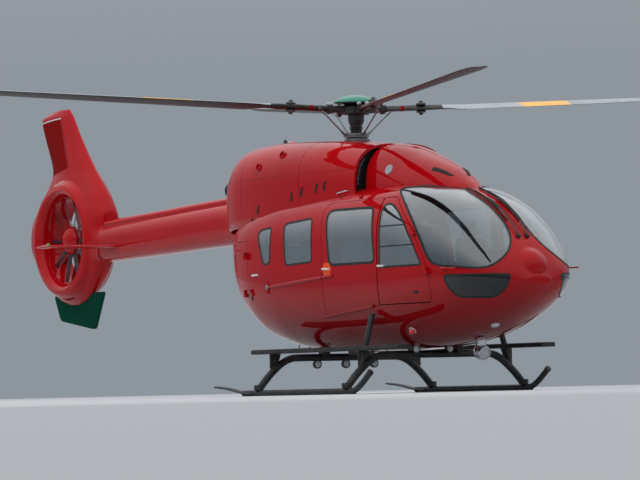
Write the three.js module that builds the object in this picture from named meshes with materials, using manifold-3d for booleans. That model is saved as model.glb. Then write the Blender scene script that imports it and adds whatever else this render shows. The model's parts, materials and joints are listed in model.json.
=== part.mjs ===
// A light twin-engine helicopter with a four-blade main rotor, a shrouded tail fan and skids,
// parked on its skids. Millimetres, +X to the nose, +Y to the left, +Z up, ground at Z 0.
// Everything is laid out from the main mast: X 0 is where the mast axis crosses the rotor hub.
// The last group moves the whole aircraft forward by MAST_X, to put the origin under its middle.
import * as THREE from 'three';
import * as BufferGeometryUtils from 'three/addons/utils/BufferGeometryUtils.js';
import Module from 'manifold-3d';

const wasm = await Module();
wasm.setup();

// Driving dimensions
const MAST_X = 1444;
const SEAT_GAP = 0.3;          // between a piece and what it is seated on
const DOOR_GAP = 3;            // each side of a door's seam
const DOOR_SKIN = 12;          // a front door's outer skin, which reaches past its frame all round
const DOOR_FRAME_INSET = 24;
const WALL = 40;               // cabin wall and door thickness
const GLASS = 8;
const COWL_WALL = 30;
const FLOOR_Z = 840;
const DEG = Math.PI / 180;

const RED = '#a3121d';
const DARK_RED = '#6e0e16';
const BLACK = '#17181a';
const GREY = '#77797c';
const LIGHT_GREY = '#b8babc';
const METAL = '#9a9c9f';
const TEAL = '#2f7d6c';
const DARK_GREEN = '#1d3a2c';
const TINTED = '#8fa0a6';
const SEAT_CLOTH = '#33363a';

// Each material is colour, roughness, metalness
const FINISH = {
  paint: [RED, 0.25, 0.1],
  darkPaint: [DARK_RED, 0.3, 0.1],
  black: [BLACK, 0.55, 0.1],
  grey: [GREY, 0.5, 0.3],
  blade: [LIGHT_GREY, 0.5, 0.1],
  metal: [METAL, 0.35, 0.9],
  teal: [TEAL, 0.3, 0.1],
  green: [DARK_GREEN, 0.4, 0.1],
  glass: [TINTED, 0.05, 0],
  cloth: [SEAT_CLOTH, 0.9, 0],
};

// Solids

function toSolid(geometry) {
  const bare = geometry.index ? geometry : BufferGeometryUtils.mergeVertices(geometry);
  bare.deleteAttribute('normal');
  bare.deleteAttribute('uv');
  const merged = BufferGeometryUtils.mergeVertices(bare, 1e-4);
  const mesh = new wasm.Mesh({
    numProp: 3,
    vertProperties: new Float32Array(merged.attributes.position.array),
    triVerts: new Uint32Array(merged.index.array),
  });
  return new wasm.Manifold(mesh);
}

function toGeometry(solid) {
  const mesh = solid.getMesh();
  const geometry = new THREE.BufferGeometry();
  const stride = mesh.numProp;
  const count = mesh.vertProperties.length / stride;
  const position = new Float32Array(count * 3);
  for (let i = 0; i < count; i++) {
    for (let k = 0; k < 3; k++) position[3 * i + k] = mesh.vertProperties[stride * i + k];
  }
  geometry.setAttribute('position', new THREE.BufferAttribute(position, 3));
  geometry.setIndex(new THREE.BufferAttribute(new Uint32Array(mesh.triVerts), 1));
  geometry.computeVertexNormals();
  return geometry;
}

function join(...solids) {
  return solids.reduce((sum, solid) => sum.add(solid));
}

// A solid through rings of points; every ring has the same number of points in the same order.
// The facets on the right side are the mirror image of those on the left.
function loft(rings) {
  const count = rings[0].length;
  const position = [];
  const index = [];
  for (const ring of rings) for (const p of ring) position.push(p.x, p.y, p.z);
  for (let r = 0; r < rings.length - 1; r++) {
    for (let i = 0; i < count; i++) {
      const a = r * count + i;
      const b = r * count + (i + 1) % count;
      const rightSide = rings[r][i].y + rings[r][(i + 1) % count].y < 0;
      if (rightSide) index.push(a, b, a + count, b, b + count, a + count);
      else index.push(a, b, b + count, a, b + count, a + count);
    }
  }
  const last = (rings.length - 1) * count;
  for (let i = 1; i < count - 1; i++) {
    index.push(0, i + 1, i);
    index.push(last, last + i, last + i + 1);
  }
  const geometry = new THREE.BufferGeometry();
  geometry.setAttribute('position', new THREE.BufferAttribute(new Float32Array(position), 3));
  geometry.setIndex(index);
  if (signedVolume(position, index) < 0) {
    for (let i = 0; i < index.length; i += 3) [index[i], index[i + 1]] = [index[i + 1], index[i]];
    geometry.setIndex(index);
  }
  return toSolid(geometry);
}

function signedVolume(position, index) {
  const corner = (i) => new THREE.Vector3(...position.slice(3 * i, 3 * i + 3));
  let sum = 0;
  for (let i = 0; i < index.length; i += 3) {
    const [a, b, c] = [corner(index[i]), corner(index[i + 1]), corner(index[i + 2])];
    sum += a.dot(b.cross(c));
  }
  return sum;
}

function box(x0, x1, y0, y1, z0, z1) {
  const geometry = new THREE.BoxGeometry(x1 - x0, y1 - y0, z1 - z0);
  geometry.translate((x0 + x1) / 2, (y0 + y1) / 2, (z0 + z1) / 2);
  return toSolid(geometry);
}

function vec(x, y, z) {
  return new THREE.Vector3(x, y, z);
}

// A round bar through points; its rings are mitred at the bends, and side is a direction across all of them
function bar(points, radius, side, sides = 10) {
  const rings = points.map((point, i) => {
    const before = i > 0 ? point.clone().sub(points[i - 1]).normalize() : null;
    const after = i < points.length - 1 ? points[i + 1].clone().sub(point).normalize() : null;
    const along = (before ?? after).clone().add(after ?? before).normalize();
    const stretch = 1 / along.dot(before ?? after);
    const across = side.clone().addScaledVector(along, -side.dot(along)).normalize();
    const up = along.clone().cross(across);
    return Array.from({ length: sides }, (_, k) => {
      const angle = (2 * Math.PI * (k + 0.5)) / sides;
      return point.clone()
        .addScaledVector(across, radius * Math.cos(angle))
        .addScaledVector(up, radius * stretch * Math.sin(angle));
    });
  });
  return loft(rings);
}

// A straight prism: outline points are [a, b] along two axes, and it runs from depth0 to depth1 on the third
function prism(outline, aAxis, bAxis, depthAxis, depth0, depth1) {
  const shape = new THREE.Shape(outline.map(([a, b]) => new THREE.Vector2(a, b)));
  const geometry = new THREE.ExtrudeGeometry(shape, { depth: depth1 - depth0, bevelEnabled: false });
  geometry.translate(0, 0, depth0);
  const flip = aAxis.clone().cross(bAxis).dot(depthAxis) < 0;
  geometry.applyMatrix4(new THREE.Matrix4().makeBasis(aAxis, bAxis, depthAxis));
  const merged = BufferGeometryUtils.mergeVertices(geometry);
  if (flip) {
    const index = Array.from(merged.index.array);
    for (let i = 0; i < index.length; i += 3) [index[i], index[i + 1]] = [index[i + 1], index[i]];
    merged.setIndex(index);
  }
  return toSolid(merged);
}

const X_AXIS = vec(1, 0, 0);
const Y_AXIS = vec(0, 1, 0);
const Z_AXIS = vec(0, 0, 1);

// A prism across the aircraft, from an outline seen from its side as [x, z]
function sidePrism(outline, y0, y1) {
  return prism(outline, X_AXIS, Z_AXIS, Y_AXIS, y0, y1);
}

// Moves every edge of a closed outline outwards by distance, or inwards if it is negative
function grown(outline, distance) {
  const area = outline.reduce((sum, [a, b], i) => {
    const [c, d] = outline[(i + 1) % outline.length];
    return sum + a * d - b * c;
  }, 0);
  const turn = Math.sign(area);
  return outline.map((point, i) => {
    const previous = outline[(i + outline.length - 1) % outline.length];
    const next = outline[(i + 1) % outline.length];
    const normal = (from, to) => {
      const length = Math.hypot(to[0] - from[0], to[1] - from[1]);
      return [turn * (to[1] - from[1]) / length, -turn * (to[0] - from[0]) / length];
    };
    const n = normal(previous, point);
    const m = normal(point, next);
    const scale = distance / (1 + n[0] * m[0] + n[1] * m[1]);
    return [point[0] + scale * (n[0] + m[0]), point[1] + scale * (n[1] + m[1])];
  });
}

// A solid turned about an axis, from a profile of [radius, distance along the axis]
function turned(profile, centre, axis = Z_AXIS, sides = 24) {
  const geometry = new THREE.LatheGeometry(profile.map(([r, h]) => new THREE.Vector2(r, h)), sides);
  geometry.applyQuaternion(new THREE.Quaternion().setFromUnitVectors(Y_AXIS, axis));
  geometry.translate(centre.x, centre.y, centre.z);
  const bare = BufferGeometryUtils.mergeVertices(stripped(geometry), 1e-3);
  const index = [];
  const source = bare.index.array;
  for (let i = 0; i < source.length; i += 3) {
    const [a, b, c] = [source[i], source[i + 1], source[i + 2]];
    if (a !== b && b !== c && c !== a) index.push(a, b, c);
  }
  if (signedVolume(Array.from(bare.attributes.position.array), index) < 0) {
    for (let i = 0; i < index.length; i += 3) [index[i], index[i + 1]] = [index[i + 1], index[i]];
  }
  bare.setIndex(index);
  return toSolid(bare);
}

function stripped(geometry) {
  geometry.deleteAttribute('normal');
  geometry.deleteAttribute('uv');
  return geometry;
}

function cylinder(radius, from, to, sides = 20) {
  const axis = to.clone().sub(from);
  const length = axis.length();
  const profile = [[0, 0], [radius, 0], [radius, length], [0, length]];
  return turned(profile, from, axis.normalize(), sides);
}

function mirrored(solid) {
  const mesh = solid.getMesh();
  const position = Array.from(mesh.vertProperties);
  const index = Array.from(mesh.triVerts);
  for (let i = 1; i < position.length; i += 3) position[i] = -position[i];
  for (let i = 0; i < index.length; i += 3) [index[i], index[i + 1]] = [index[i + 1], index[i]];
  const copy = new wasm.Mesh({
    numProp: 3,
    vertProperties: new Float32Array(position),
    triVerts: new Uint32Array(index),
  });
  return new wasm.Manifold(copy);
}

// Body lofts: each row is one section across the aircraft
// x, top z, bottom z, half width, z of the widest line, power of the upper half, power of the lower half
const CABIN = [
  [-2280, 2020, 1680, 120, 1860, 2.2, 2.2],
  [-2190, 2120, 1400, 360, 1820, 2.4, 2.3],
  [-1980, 2190, 1080, 565, 1740, 2.8, 2.4],
  [-1600, 2260, 800, 725, 1640, 3.2, 2.5],
  [-1100, 2320, 630, 820, 1540, 3.6, 2.7],
  [-500, 2360, 530, 860, 1480, 3.9, 2.8],
  [300, 2390, 490, 867, 1440, 4.0, 2.9],
  [1200, 2400, 490, 867, 1420, 4.0, 2.8],
  [1800, 2390, 510, 865, 1400, 3.8, 2.7],
  [2300, 2320, 560, 850, 1380, 3.4, 2.5],
  [2750, 2170, 650, 810, 1350, 3.0, 2.3],
  [3100, 1960, 770, 740, 1310, 2.7, 2.15],
  [3400, 1680, 920, 610, 1270, 2.5, 2.05],
  [3580, 1450, 1050, 420, 1240, 2.2, 2.0],
  [3660, 1280, 1140, 180, 1210, 2.0, 2.0],
];
const FORWARD_COWL = [
  [950, 2905, 1950, 500, 2350, 2.6, 6],
  [1150, 2870, 1950, 495, 2330, 2.5, 6],
  [1600, 2730, 1950, 470, 2280, 2.3, 6],
  [2020, 2560, 1950, 400, 2230, 2.1, 6],
  [2300, 2390, 1950, 270, 2180, 2.0, 6],
  [2440, 2280, 1950, 110, 2150, 2.0, 6],
];
const ENGINE_COWL = [
  [-2280, 2620, 1960, 420, 2350, 2.4, 6],
  [-2180, 2840, 1960, 520, 2350, 2.7, 6],
  [-2000, 2980, 1960, 600, 2350, 2.9, 6],
  [-1700, 3040, 1960, 670, 2350, 3.1, 6],
  [-1200, 3050, 1960, 720, 2350, 3.3, 6],
  [-600, 3030, 1960, 740, 2350, 3.4, 6],
  [0, 3000, 1960, 730, 2350, 3.4, 6],
  [500, 2955, 1960, 700, 2350, 3.2, 6],
  [950, 2905, 1960, 660, 2350, 3.0, 6],
];
const TAIL_BOOM = [
  [-6050, 2280, 1800, 195, 2040, 2.6, 2.6],
  [-4500, 2345, 1835, 215, 2085, 2.6, 2.6],
  [-2900, 2410, 1870, 240, 2135, 2.6, 2.6],
  [-1900, 2440, 1860, 300, 2135, 2.6, 2.6],
];

// One row of a table at any x, on a smooth curve that never overshoots its rows
function rowAt(table, x) {
  const last = table.length - 1;
  const i = Math.min(Math.max(table.findIndex((row) => row[0] > x) - 1, 0), last - 1);
  const at = table[last][0] <= x ? last - 1 : i;
  const [a, b] = [table[at], table[at + 1]];
  const span = b[0] - a[0];
  const t = (x - a[0]) / span;
  return a.map((value, column) => {
    const slope = (b[column] - value) / span;
    const before = at > 0 ? (value - table[at - 1][column]) / (a[0] - table[at - 1][0]) : slope;
    const after = at + 2 <= last ? (table[at + 2][column] - b[column]) / (table[at + 2][0] - b[0]) : slope;
    const m0 = limitedSlope(before, slope) * span;
    const m1 = limitedSlope(slope, after) * span;
    return (2 * t ** 3 - 3 * t ** 2 + 1) * value + (t ** 3 - 2 * t ** 2 + t) * m0
      + (3 * t ** 2 - 2 * t ** 3) * b[column] + (t ** 3 - t ** 2) * m1;
  });
}

// The harmonic mean of two slopes, and level where they differ in sign
function limitedSlope(p, q) {
  return p * q > 0 ? (2 * p * q) / (p + q) : 0;
}

function sectionRing(table, x, inset, points) {
  const [, top, bottom, half, wide, upper, lower] = rowAt(table, x);
  return Array.from({ length: points }, (_, k) => {
    const angle = (2 * Math.PI * k) / points;
    const [c, s] = [Math.cos(angle), Math.sin(angle)];
    const power = 2 / (s >= 0 ? upper : lower);
    const height = s >= 0 ? top - inset - wide : wide - bottom - inset;
    const y = Math.sign(c) * Math.max(half - inset, 5) * Math.abs(c) ** power;
    const z = wide + Math.sign(s) * Math.max(height, 5) * Math.abs(s) ** power;
    return vec(x, y, z);
  });
}

// stations are the x of each ring; an inset body is thinner all round and shorter at both ends
function bodySolid(table, stations, inset, points, shortenEnds = true) {
  const [first, last] = [stations[0], stations[stations.length - 1]];
  const shift = shortenEnds ? inset : 0;
  const rings = stations.map((x) => {
    const share = (x - first) / (last - first);
    const moved = x + shift * (1 - 2 * share);
    const ring = sectionRing(table, x, inset, points);
    ring.forEach((p) => { p.x = moved; });
    return ring;
  });
  return loft(rings);
}

const CABIN_STATIONS = [-2280, -2235, -2150, -1980, -1790, -1560, -1250, -850, -300, 400, 1200, 1720, 2120,
  2480, 2780, 3030, 3240, 3410, 3530, 3610, 3660];
const CABIN_POINTS = 28;
const LINING_STATIONS = [-2280, -2180, -1980, -1600, -1000, 400, 1720, 2400, 2860, 3200, 3440, 3590, 3660];
const LINING_POINTS = 20;

function cabinSolid(inset) {
  return bodySolid(CABIN, CABIN_STATIONS, inset, CABIN_POINTS);
}

// The inside of the walls has fewer facets than the outside
function liningSolid(inset) {
  return bodySolid(CABIN, LINING_STATIONS, inset, LINING_POINTS);
}

const cabinOuter = cabinSolid(0);
const cabinInner = liningSolid(WALL);
const cabinShell = cabinOuter.subtract(cabinInner);
const cabinClearance = cabinSolid(-SEAT_GAP);
const glassShell = cabinOuter.subtract(cabinSolid(GLASS));
const doorSkin = cabinOuter.subtract(cabinSolid(DOOR_SKIN));

const helicopter = new THREE.Group();
helicopter.position.x = MAST_X;

function addPart(name, solid, finish, parent = helicopter) {
  const [color, roughness, metalness] = FINISH[finish];
  const material = new THREE.MeshStandardMaterial({ color, roughness, metalness });
  const mesh = new THREE.Mesh(toGeometry(solid), material);
  mesh.name = name;
  parent.add(mesh);
  return mesh;
}

// Adds name_right as given, and name_left as its mirror image
function addPair(name, rightSolid, finish) {
  addPart(`${name}_right`, rightSolid, finish);
  addPart(`${name}_left`, mirrored(rightSolid), finish);
}

// Outlines seen from the side, [x, z]
const FAR_SIDE = 1300;
const DOOR_INNER_Y = 420;
const NOSE_X = 1714;
const SILL = [[-2600, 900], [540, 900], [1708, 1000], [2700, 1000], [2850, 920], [3900, 920]];
const TUB = [...SILL, [3900, 300], [-2600, 300]];
const SPLIT_X = -1253;
const DOOR_TOP_Z = 2225;
const REAR_DOOR_TOP_Z = 1858;     // under the tail boom, so that the doors swing clear of it
const FRONT_DOOR = [[NOSE_X, 1003], [NOSE_X, DOOR_TOP_Z], [1950, DOOR_TOP_Z], [2085, 2110], [2245, 1975],
  [2385, 1843], [2520, 1650], [2625, 1479], [2690, 1340], [2705, 1180], [2690, 1070], [2640, 1003]];
const FRONT_DOOR_WINDOW = [[1765, 1430], [1757, 2080], [1800, 2150], [1915, 2148], [2070, 2060], [2200, 1940],
  [2410, 1685], [2575, 1440], [2565, 1428]];
const SLIDING_DOOR = [[540, 901], [540, 1500], [510, 2080], [525, 2155], [570, 2205], [640, DOOR_TOP_Z],
  [1708, DOOR_TOP_Z], [1708, 1001]];
const SLIDING_DOOR_WINDOW = [[690, 1550], [612, 2060], [650, 2115], [720, 2135], [1530, 2125], [1588, 2090],
  [1660, 1540], [1630, 1490], [735, 1495]];
const REAR_WINDOW = [[-290, 1575], [-325, 1990], [-285, 2025], [265, 2060], [300, 2030], [322, 1580],
  [290, 1548], [-255, 1530]];
const SMALL_REAR_WINDOW = [[-830, 1600], [-965, 1915], [-905, 1975], [-650, 1995], [-622, 1965], [-645, 1595],
  [-690, 1560], [-790, 1560]];
const REAR_DOOR_FOOT_Z = 903;
const REAR_DOORS = [[-2600, REAR_DOOR_FOOT_Z], [SPLIT_X, REAR_DOOR_FOOT_Z], [SPLIT_X, REAR_DOOR_TOP_Z],
  [-2600, REAR_DOOR_TOP_Z]];

// Outlines seen from the quarter ahead of the right side, [across, z]
const QUARTER = 32 * DEG;
const QUARTER_ACROSS = vec(Math.sin(QUARTER), Math.cos(QUARTER), 0);
const QUARTER_DEPTH = vec(Math.cos(QUARTER), -Math.sin(QUARTER), 0);
const QUARTER_NEAR = 4500;
const QUARTER_FAR = 1330;
const WINDSHIELD = [[445, 2330], [790, 2345], [1150, 2322], [1220, 2260], [1440, 2085], [1600, 1875],
  [1655, 1720], [1640, 1590], [1570, 1486], [1424, 1380], [1257, 1358], [835, 1410], [735, 1475], [608, 1843],
  [515, 2110]];
const CHIN_WINDOW = [[880, 1300], [1640, 1285], [1570, 1117], [1450, 1030], [1064, 1045], [960, 1135]];

function quarterPrism(outline) {
  return prism(outline, QUARTER_ACROSS, Z_AXIS, QUARTER_DEPTH, QUARTER_FAR, QUARTER_NEAR);
}

function rightSide(outline, innerY = DOOR_INNER_Y) {
  return sidePrism(outline, -FAR_SIDE, -innerY);
}

// A cut on both sides of the aircraft
function bothSides(rightCut) {
  return join(rightCut, mirrored(rightCut));
}

// Hinge knuckles: a barrel on the axis with a leaf that reaches inboard to its panel
const KNUCKLE = { radius: 14, length: 45, leafNear: 5, leafFar: 30, leafOut: -6 };

function knuckle(centre, axis, panelSide, inboard, above, leafDepth) {
  const { radius, length, leafNear, leafFar, leafOut } = KNUCKLE;
  const start = above ? SEAT_GAP / 2 : -length;
  const end = above ? length : -SEAT_GAP / 2;
  const from = centre.clone().addScaledVector(axis, start);
  const barrel = cylinder(radius, from, centre.clone().addScaledVector(axis, end), 12);
  const leaf = [[leafNear, leafOut], [leafFar, leafOut], [leafFar, leafDepth], [leafNear, leafDepth]];
  return join(barrel, prismAt(leaf, centre, panelSide, inboard, axis, start, end));
}

function prismAt(outline, origin, aAxis, bAxis, depthAxis, depth0, depth1) {
  return moved(prism(outline, aAxis, bAxis, depthAxis, depth0, depth1), origin);
}

function moved(solid, offset) {
  return solid.translate([offset.x, offset.y, offset.z]);
}

// Cabin structure

function aboveFloor(gap) {
  return box(-3000, 4000, -2000, 2000, FLOOR_Z + gap, 3000);
}

const frontDoorCut = bothSides(rightSide(grown(FRONT_DOOR, DOOR_GAP)));
const slidingDoorCut = bothSides(rightSide(grown(SLIDING_DOOR, SEAT_GAP)));
const rearDoorCut = sidePrism(grown(REAR_DOORS, DOOR_GAP), -FAR_SIDE, FAR_SIDE);
const windshieldCut = bothSides(quarterPrism(WINDSHIELD));
const chinCut = bothSides(quarterPrism(CHIN_WINDOW));

// Underfloor tub with the floor on top, and the sills that stand on its rim
const HOOK_PLATE_Z = 460;
const tubAir = cabinInner.intersect(aboveFloor(0));
const hookPlate = box(-130, 130, -110, 110, HOOK_PLATE_Z, 560);
const tub = cabinOuter.intersect(sidePrism(TUB, -FAR_SIDE, FAR_SIDE));
addPart('underfloor_tub', join(tub.subtract(aboveFloor(0)), hookPlate), 'darkPaint');
const sillRing = tub.subtract(tubAir).intersect(aboveFloor(SEAT_GAP));
addPair('door_sill', sillRing.intersect(box(-3000, 4000, -2000, -SEAT_GAP / 2, 0, 2000)), 'darkPaint');

// Roof, with the top of the tail end and the posts between the doors
const ROOF = [[-2600, REAR_DOOR_TOP_Z + SEAT_GAP], [SPLIT_X, REAR_DOOR_TOP_Z + SEAT_GAP],
  [SPLIT_X, DOOR_TOP_Z + SEAT_GAP], [NOSE_X - SEAT_GAP, DOOR_TOP_Z + SEAT_GAP], [NOSE_X - SEAT_GAP, 2600],
  [-2600, 2600]];
const POST_X = [1650, 1750];
const POST_CLEARANCE = 46;
const POST_DEPTH = 86;
const postInner = liningSolid(POST_DEPTH);
const postBox = bothSides(box(...POST_X, -FAR_SIDE, -300, FLOOR_Z + SEAT_GAP, 2600));
const postTop = bothSides(box(POST_X[0], NOSE_X - 2, -FAR_SIDE, -300, DOOR_TOP_Z + 6, 2600));
const posts = join(
  liningSolid(POST_CLEARANCE).subtract(postInner).intersect(postBox),
  liningSolid(WALL - 4).subtract(postInner).intersect(postTop),
);
const roofShell = cabinShell.intersect(sidePrism(ROOF, -FAR_SIDE, FAR_SIDE));
const roof = join(roofShell, posts).subtract(rearDoorCut).subtract(frontDoorCut).subtract(windshieldCut);
addPart('cabin_roof', roof, 'paint');

// Fixed side walls behind the sliding doors
const REAR_HINGE_X = -1253;
const REAR_HINGE_Y = -842;
const REAR_HINGE_Z = [1230, 1680];
const AFT_WALL = [[SPLIT_X + DOOR_GAP, 900 + SEAT_GAP], [540, 900 + SEAT_GAP], [540, 1500], [700, 2000],
  [700, DOOR_TOP_Z], [SPLIT_X + DOOR_GAP, DOOR_TOP_Z]];
const aftWindowCut = join(rightSide(REAR_WINDOW), rightSide(SMALL_REAR_WINDOW));
let aftWall = cabinShell.intersect(rightSide(AFT_WALL, 300)).subtract(slidingDoorCut).subtract(aftWindowCut);
for (const z of REAR_HINGE_Z) {
  aftWall = join(aftWall, knuckle(vec(REAR_HINGE_X, REAR_HINGE_Y, z), Z_AXIS, X_AXIS, Y_AXIS, false, 80));
}
addPair('aft_side_wall', aftWall, 'paint');

// Clamshell rear doors
const rearDoorPanel = cabinShell.intersect(sidePrism(grown(REAR_DOORS, -DOOR_GAP), -FAR_SIDE, -DOOR_GAP));
let rearDoor = rearDoorPanel;
for (const z of REAR_HINGE_Z) {
  const leafSide = X_AXIS.clone().negate();
  rearDoor = join(rearDoor, knuckle(vec(REAR_HINGE_X, REAR_HINGE_Y, z), Z_AXIS, leafSide, Y_AXIS, true, 80));
}
addPair('rear_door', rearDoor, 'paint');

// Sliding doors
const slidingDoor = cabinShell.intersect(rightSide(grown(SLIDING_DOOR, -SEAT_GAP)))
  .subtract(rightSide(SLIDING_DOOR_WINDOW));
addPair('sliding_door', slidingDoor, 'paint');

// Nose with the windshield posts
const NOSE_HINGES = [vec(2412, -849, 1800), vec(2682, -858, 1357)];
const NOSE_HINGE_AXIS = NOSE_HINGES[0].clone().sub(NOSE_HINGES[1]).normalize();
const NOSE_HINGE_BACK = Y_AXIS.clone().cross(NOSE_HINGE_AXIS).negate().normalize();
const NOSE_HINGE_IN = NOSE_HINGE_BACK.clone().cross(NOSE_HINGE_AXIS).normalize();
const NOSE = [[NOSE_X, 1000 + SEAT_GAP], [2700, 1000 + SEAT_GAP], [2850, 920 + SEAT_GAP],
  [3900, 920 + SEAT_GAP], [3900, 2600], [NOSE_X, 2600]];
const noseShell = cabinShell.intersect(sidePrism(NOSE, -FAR_SIDE, FAR_SIDE))
  .subtract(frontDoorCut).subtract(windshieldCut).subtract(chinCut);
const noseKnuckles = NOSE_HINGES.map((centre) => (
  knuckle(centre, NOSE_HINGE_AXIS, NOSE_HINGE_BACK.clone().negate(), NOSE_HINGE_IN, false, 60)));
addPart('nose', join(noseShell, bothSides(join(...noseKnuckles))), 'paint');

// Front doors
// The rear and lower edges have extra room, because the slanted hinge first takes them back and down
const SWING_ROOM = [
  [[1700, 990], [1721, 990], [1728, 2240], [1700, 2240]],
  [[1700, 990], [2700, 990], [2700, 1013], [1700, 1009]],
];
const swingRoom = join(...SWING_ROOM.map((outline) => rightSide(outline)));
const frontDoorFrame = cabinShell.intersect(rightSide(grown(FRONT_DOOR, -DOOR_GAP - DOOR_FRAME_INSET)));
let frontDoor = join(doorSkin.intersect(rightSide(grown(FRONT_DOOR, -DOOR_GAP))), frontDoorFrame)
  .subtract(swingRoom).subtract(rightSide(FRONT_DOOR_WINDOW));
for (const centre of NOSE_HINGES) {
  frontDoor = join(frontDoor, knuckle(centre, NOSE_HINGE_AXIS, NOSE_HINGE_BACK, NOSE_HINGE_IN, true, 60));
}
addPair('front_door', frontDoor, 'paint');

// Glass
const PANES = [
  ['windshield', quarterPrism(grown(WINDSHIELD, -SEAT_GAP))],
  ['chin_window', quarterPrism(grown(CHIN_WINDOW, -SEAT_GAP))],
  ['front_door_window', rightSide(grown(FRONT_DOOR_WINDOW, -SEAT_GAP))],
  ['sliding_door_window', rightSide(grown(SLIDING_DOOR_WINDOW, -SEAT_GAP))],
  ['rear_window', rightSide(grown(REAR_WINDOW, -SEAT_GAP))],
  ['small_rear_window', rightSide(grown(SMALL_REAR_WINDOW, -SEAT_GAP))],
];
for (const [name, outline] of PANES) addPair(name, glassShell.intersect(outline), 'glass');

// Cowlings on the roof
const COWL_FRONT_X = 950;
const COWL_SEAM = 4;
const FORWARD_STATIONS = [COWL_FRONT_X + COWL_SEAM, 1150, 1600, 2020, 2300, 2440];
const ENGINE_STATIONS = [-2280, -2180, -2000, -1700, -1200, -600, 0, 500, COWL_FRONT_X];
const COWL_POINTS = 24;
const BOOM_STATIONS = [-6050, -4500, -2900, -2350, -1900];
const BOOM_CLEARANCE_STATIONS = [-6050, -4500, -2900, -2350, -1899];
const BOOM_BORE_STATIONS = [-6060, -4500, -2900, -1890];
const BOOM_POINTS = 22;
const BOOM_WALL = 25;
const boomClearance = bodySolid(TAIL_BOOM, BOOM_CLEARANCE_STATIONS, -SEAT_GAP, BOOM_POINTS, false);

function cowlShell(table, stations, openFront) {
  const outer = bodySolid(table, stations, 0, COWL_POINTS, false);
  const ends = stations.map((x, i) => {
    if (i === 0) return openFront ? x + COWL_WALL : x - 10;
    if (i === stations.length - 1) return openFront ? x + 10 : x - COWL_WALL;
    return x;
  });
  const innerTable = table.map((row) => [row[0], row[1], row[2] - 200, ...row.slice(3)]);
  const inner = bodySolid(innerTable, ends, COWL_WALL, COWL_POINTS, false);
  return outer.subtract(inner).subtract(cabinClearance);
}

addPart('forward_cowl', cowlShell(FORWARD_COWL, FORWARD_STATIONS, false), 'paint');

const EXHAUST_Y = 330;
const EXHAUST_Z = 2530;
const EXHAUST_RADIUS = 105;
const HOUSING_RADIUS = 165;
const exhaustAt = (x) => vec(x, -EXHAUST_Y, EXHAUST_Z);
const exhaustHole = cylinder(EXHAUST_RADIUS + 10, exhaustAt(-2100), exhaustAt(-2400));
const housingHole = cylinder(HOUSING_RADIUS + SEAT_GAP, vec(0, 0, 2850), vec(0, 0, 3100), 24);
const engineCowl = cowlShell(ENGINE_COWL, ENGINE_STATIONS, true)
  .subtract(boomClearance).subtract(bothSides(exhaustHole)).subtract(housingHole);
addPart('engine_cowl', engineCowl, 'paint');

// Main gearbox, engines and exhausts under the cowls
const HUB_Z = 3360;
const SHAFT_TILT = 2 * DEG;
const HOUSING_TOP_Z = 3030;
const MAST_RADIUS = 68;
const MAST_BOTTOM = -400;
const SHAFT_AXIS = vec(Math.sin(SHAFT_TILT), 0, Math.cos(SHAFT_TILT));
const HUB_CENTRE = vec(0, 0, HUB_Z);
const alongShaft = (distance) => HUB_CENTRE.clone().addScaledVector(SHAFT_AXIS, distance);
const gearboxCase = box(-330, 380, -300, 300, 2200, 2840).subtract(cabinClearance);
const housing = turned([[0, 2800], [HOUSING_RADIUS, 2800], [HOUSING_RADIUS, 3000], [125, HOUSING_TOP_Z],
  [0, HOUSING_TOP_Z]], vec(0, 0, 0));
const mastBore = cylinder(MAST_RADIUS + 4, alongShaft(MAST_BOTTOM - SEAT_GAP), alongShaft(0), 24);
addPart('main_gearbox', join(gearboxCase, housing).subtract(mastBore), 'grey');

const ENGINE = { x0: -1750, x1: -720, y0: -520, y1: -110, z0: 2150, z1: 2760 };
const engine = box(ENGINE.x0, ENGINE.x1, ENGINE.y0, ENGINE.y1, ENGINE.z0, ENGINE.z1)
  .subtract(cabinClearance);
addPair('engine', engine, 'grey');

const exhaustPipe = cylinder(EXHAUST_RADIUS, exhaustAt(-2370), exhaustAt(ENGINE.x0 - SEAT_GAP));
const exhaustBore = cylinder(EXHAUST_RADIUS - 12, exhaustAt(-2400), exhaustAt(-1800));
addPair('exhaust', exhaustPipe.subtract(exhaustBore), 'black');

// Tail boom and stabiliser
const TAIL_SPLIT_X = -6050;
const STABILISER = { x: -5680, z: 1985, halfSpan: 1210, chord: 450, tipChord: 400, thickness: 58 };

// Points of a rounded blade section, [along the chord, up], centred where it is thickest
function wingSection(chord, thickness, points = 12) {
  return Array.from({ length: points }, (_, k) => {
    const angle = (2 * Math.PI * k) / points;
    const along = Math.cos(angle);
    const rise = Math.sign(Math.sin(angle)) * Math.abs(Math.sin(angle)) ** 0.9;
    const thinning = 1 - 0.45 * Math.max(0, -along);
    return [chord * (0.5 * along - 0.15), (thickness / 2) * rise * thinning];
  });
}

function stabiliserSolid(extra) {
  const { x, z, halfSpan, chord, tipChord, thickness } = STABILISER;
  const rings = [-halfSpan, -halfSpan + 60, 0, halfSpan - 60, halfSpan].map((y, i) => {
    const atTip = i === 0 || i === 4;
    const outer = atTip ? [tipChord - 80, thickness * 0.5] : [tipChord, thickness * 0.85];
    const [length, depth] = i === 2 ? [chord, thickness] : outer;
    return wingSection(length + 2 * extra, depth + 2 * extra).map(([a, b]) => vec(x + a, y, z + b));
  });
  return loft(rings);
}

const boomBore = bodySolid(TAIL_BOOM, BOOM_BORE_STATIONS, BOOM_WALL, BOOM_POINTS, false);
const boom = bodySolid(TAIL_BOOM, BOOM_STATIONS, 0, BOOM_POINTS, false)
  .subtract(boomBore).subtract(cabinClearance).subtract(stabiliserSolid(2 * SEAT_GAP));
addPart('tail_boom', boom, 'paint');
addPart('stabiliser', stabiliserSolid(0), 'paint');

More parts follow.
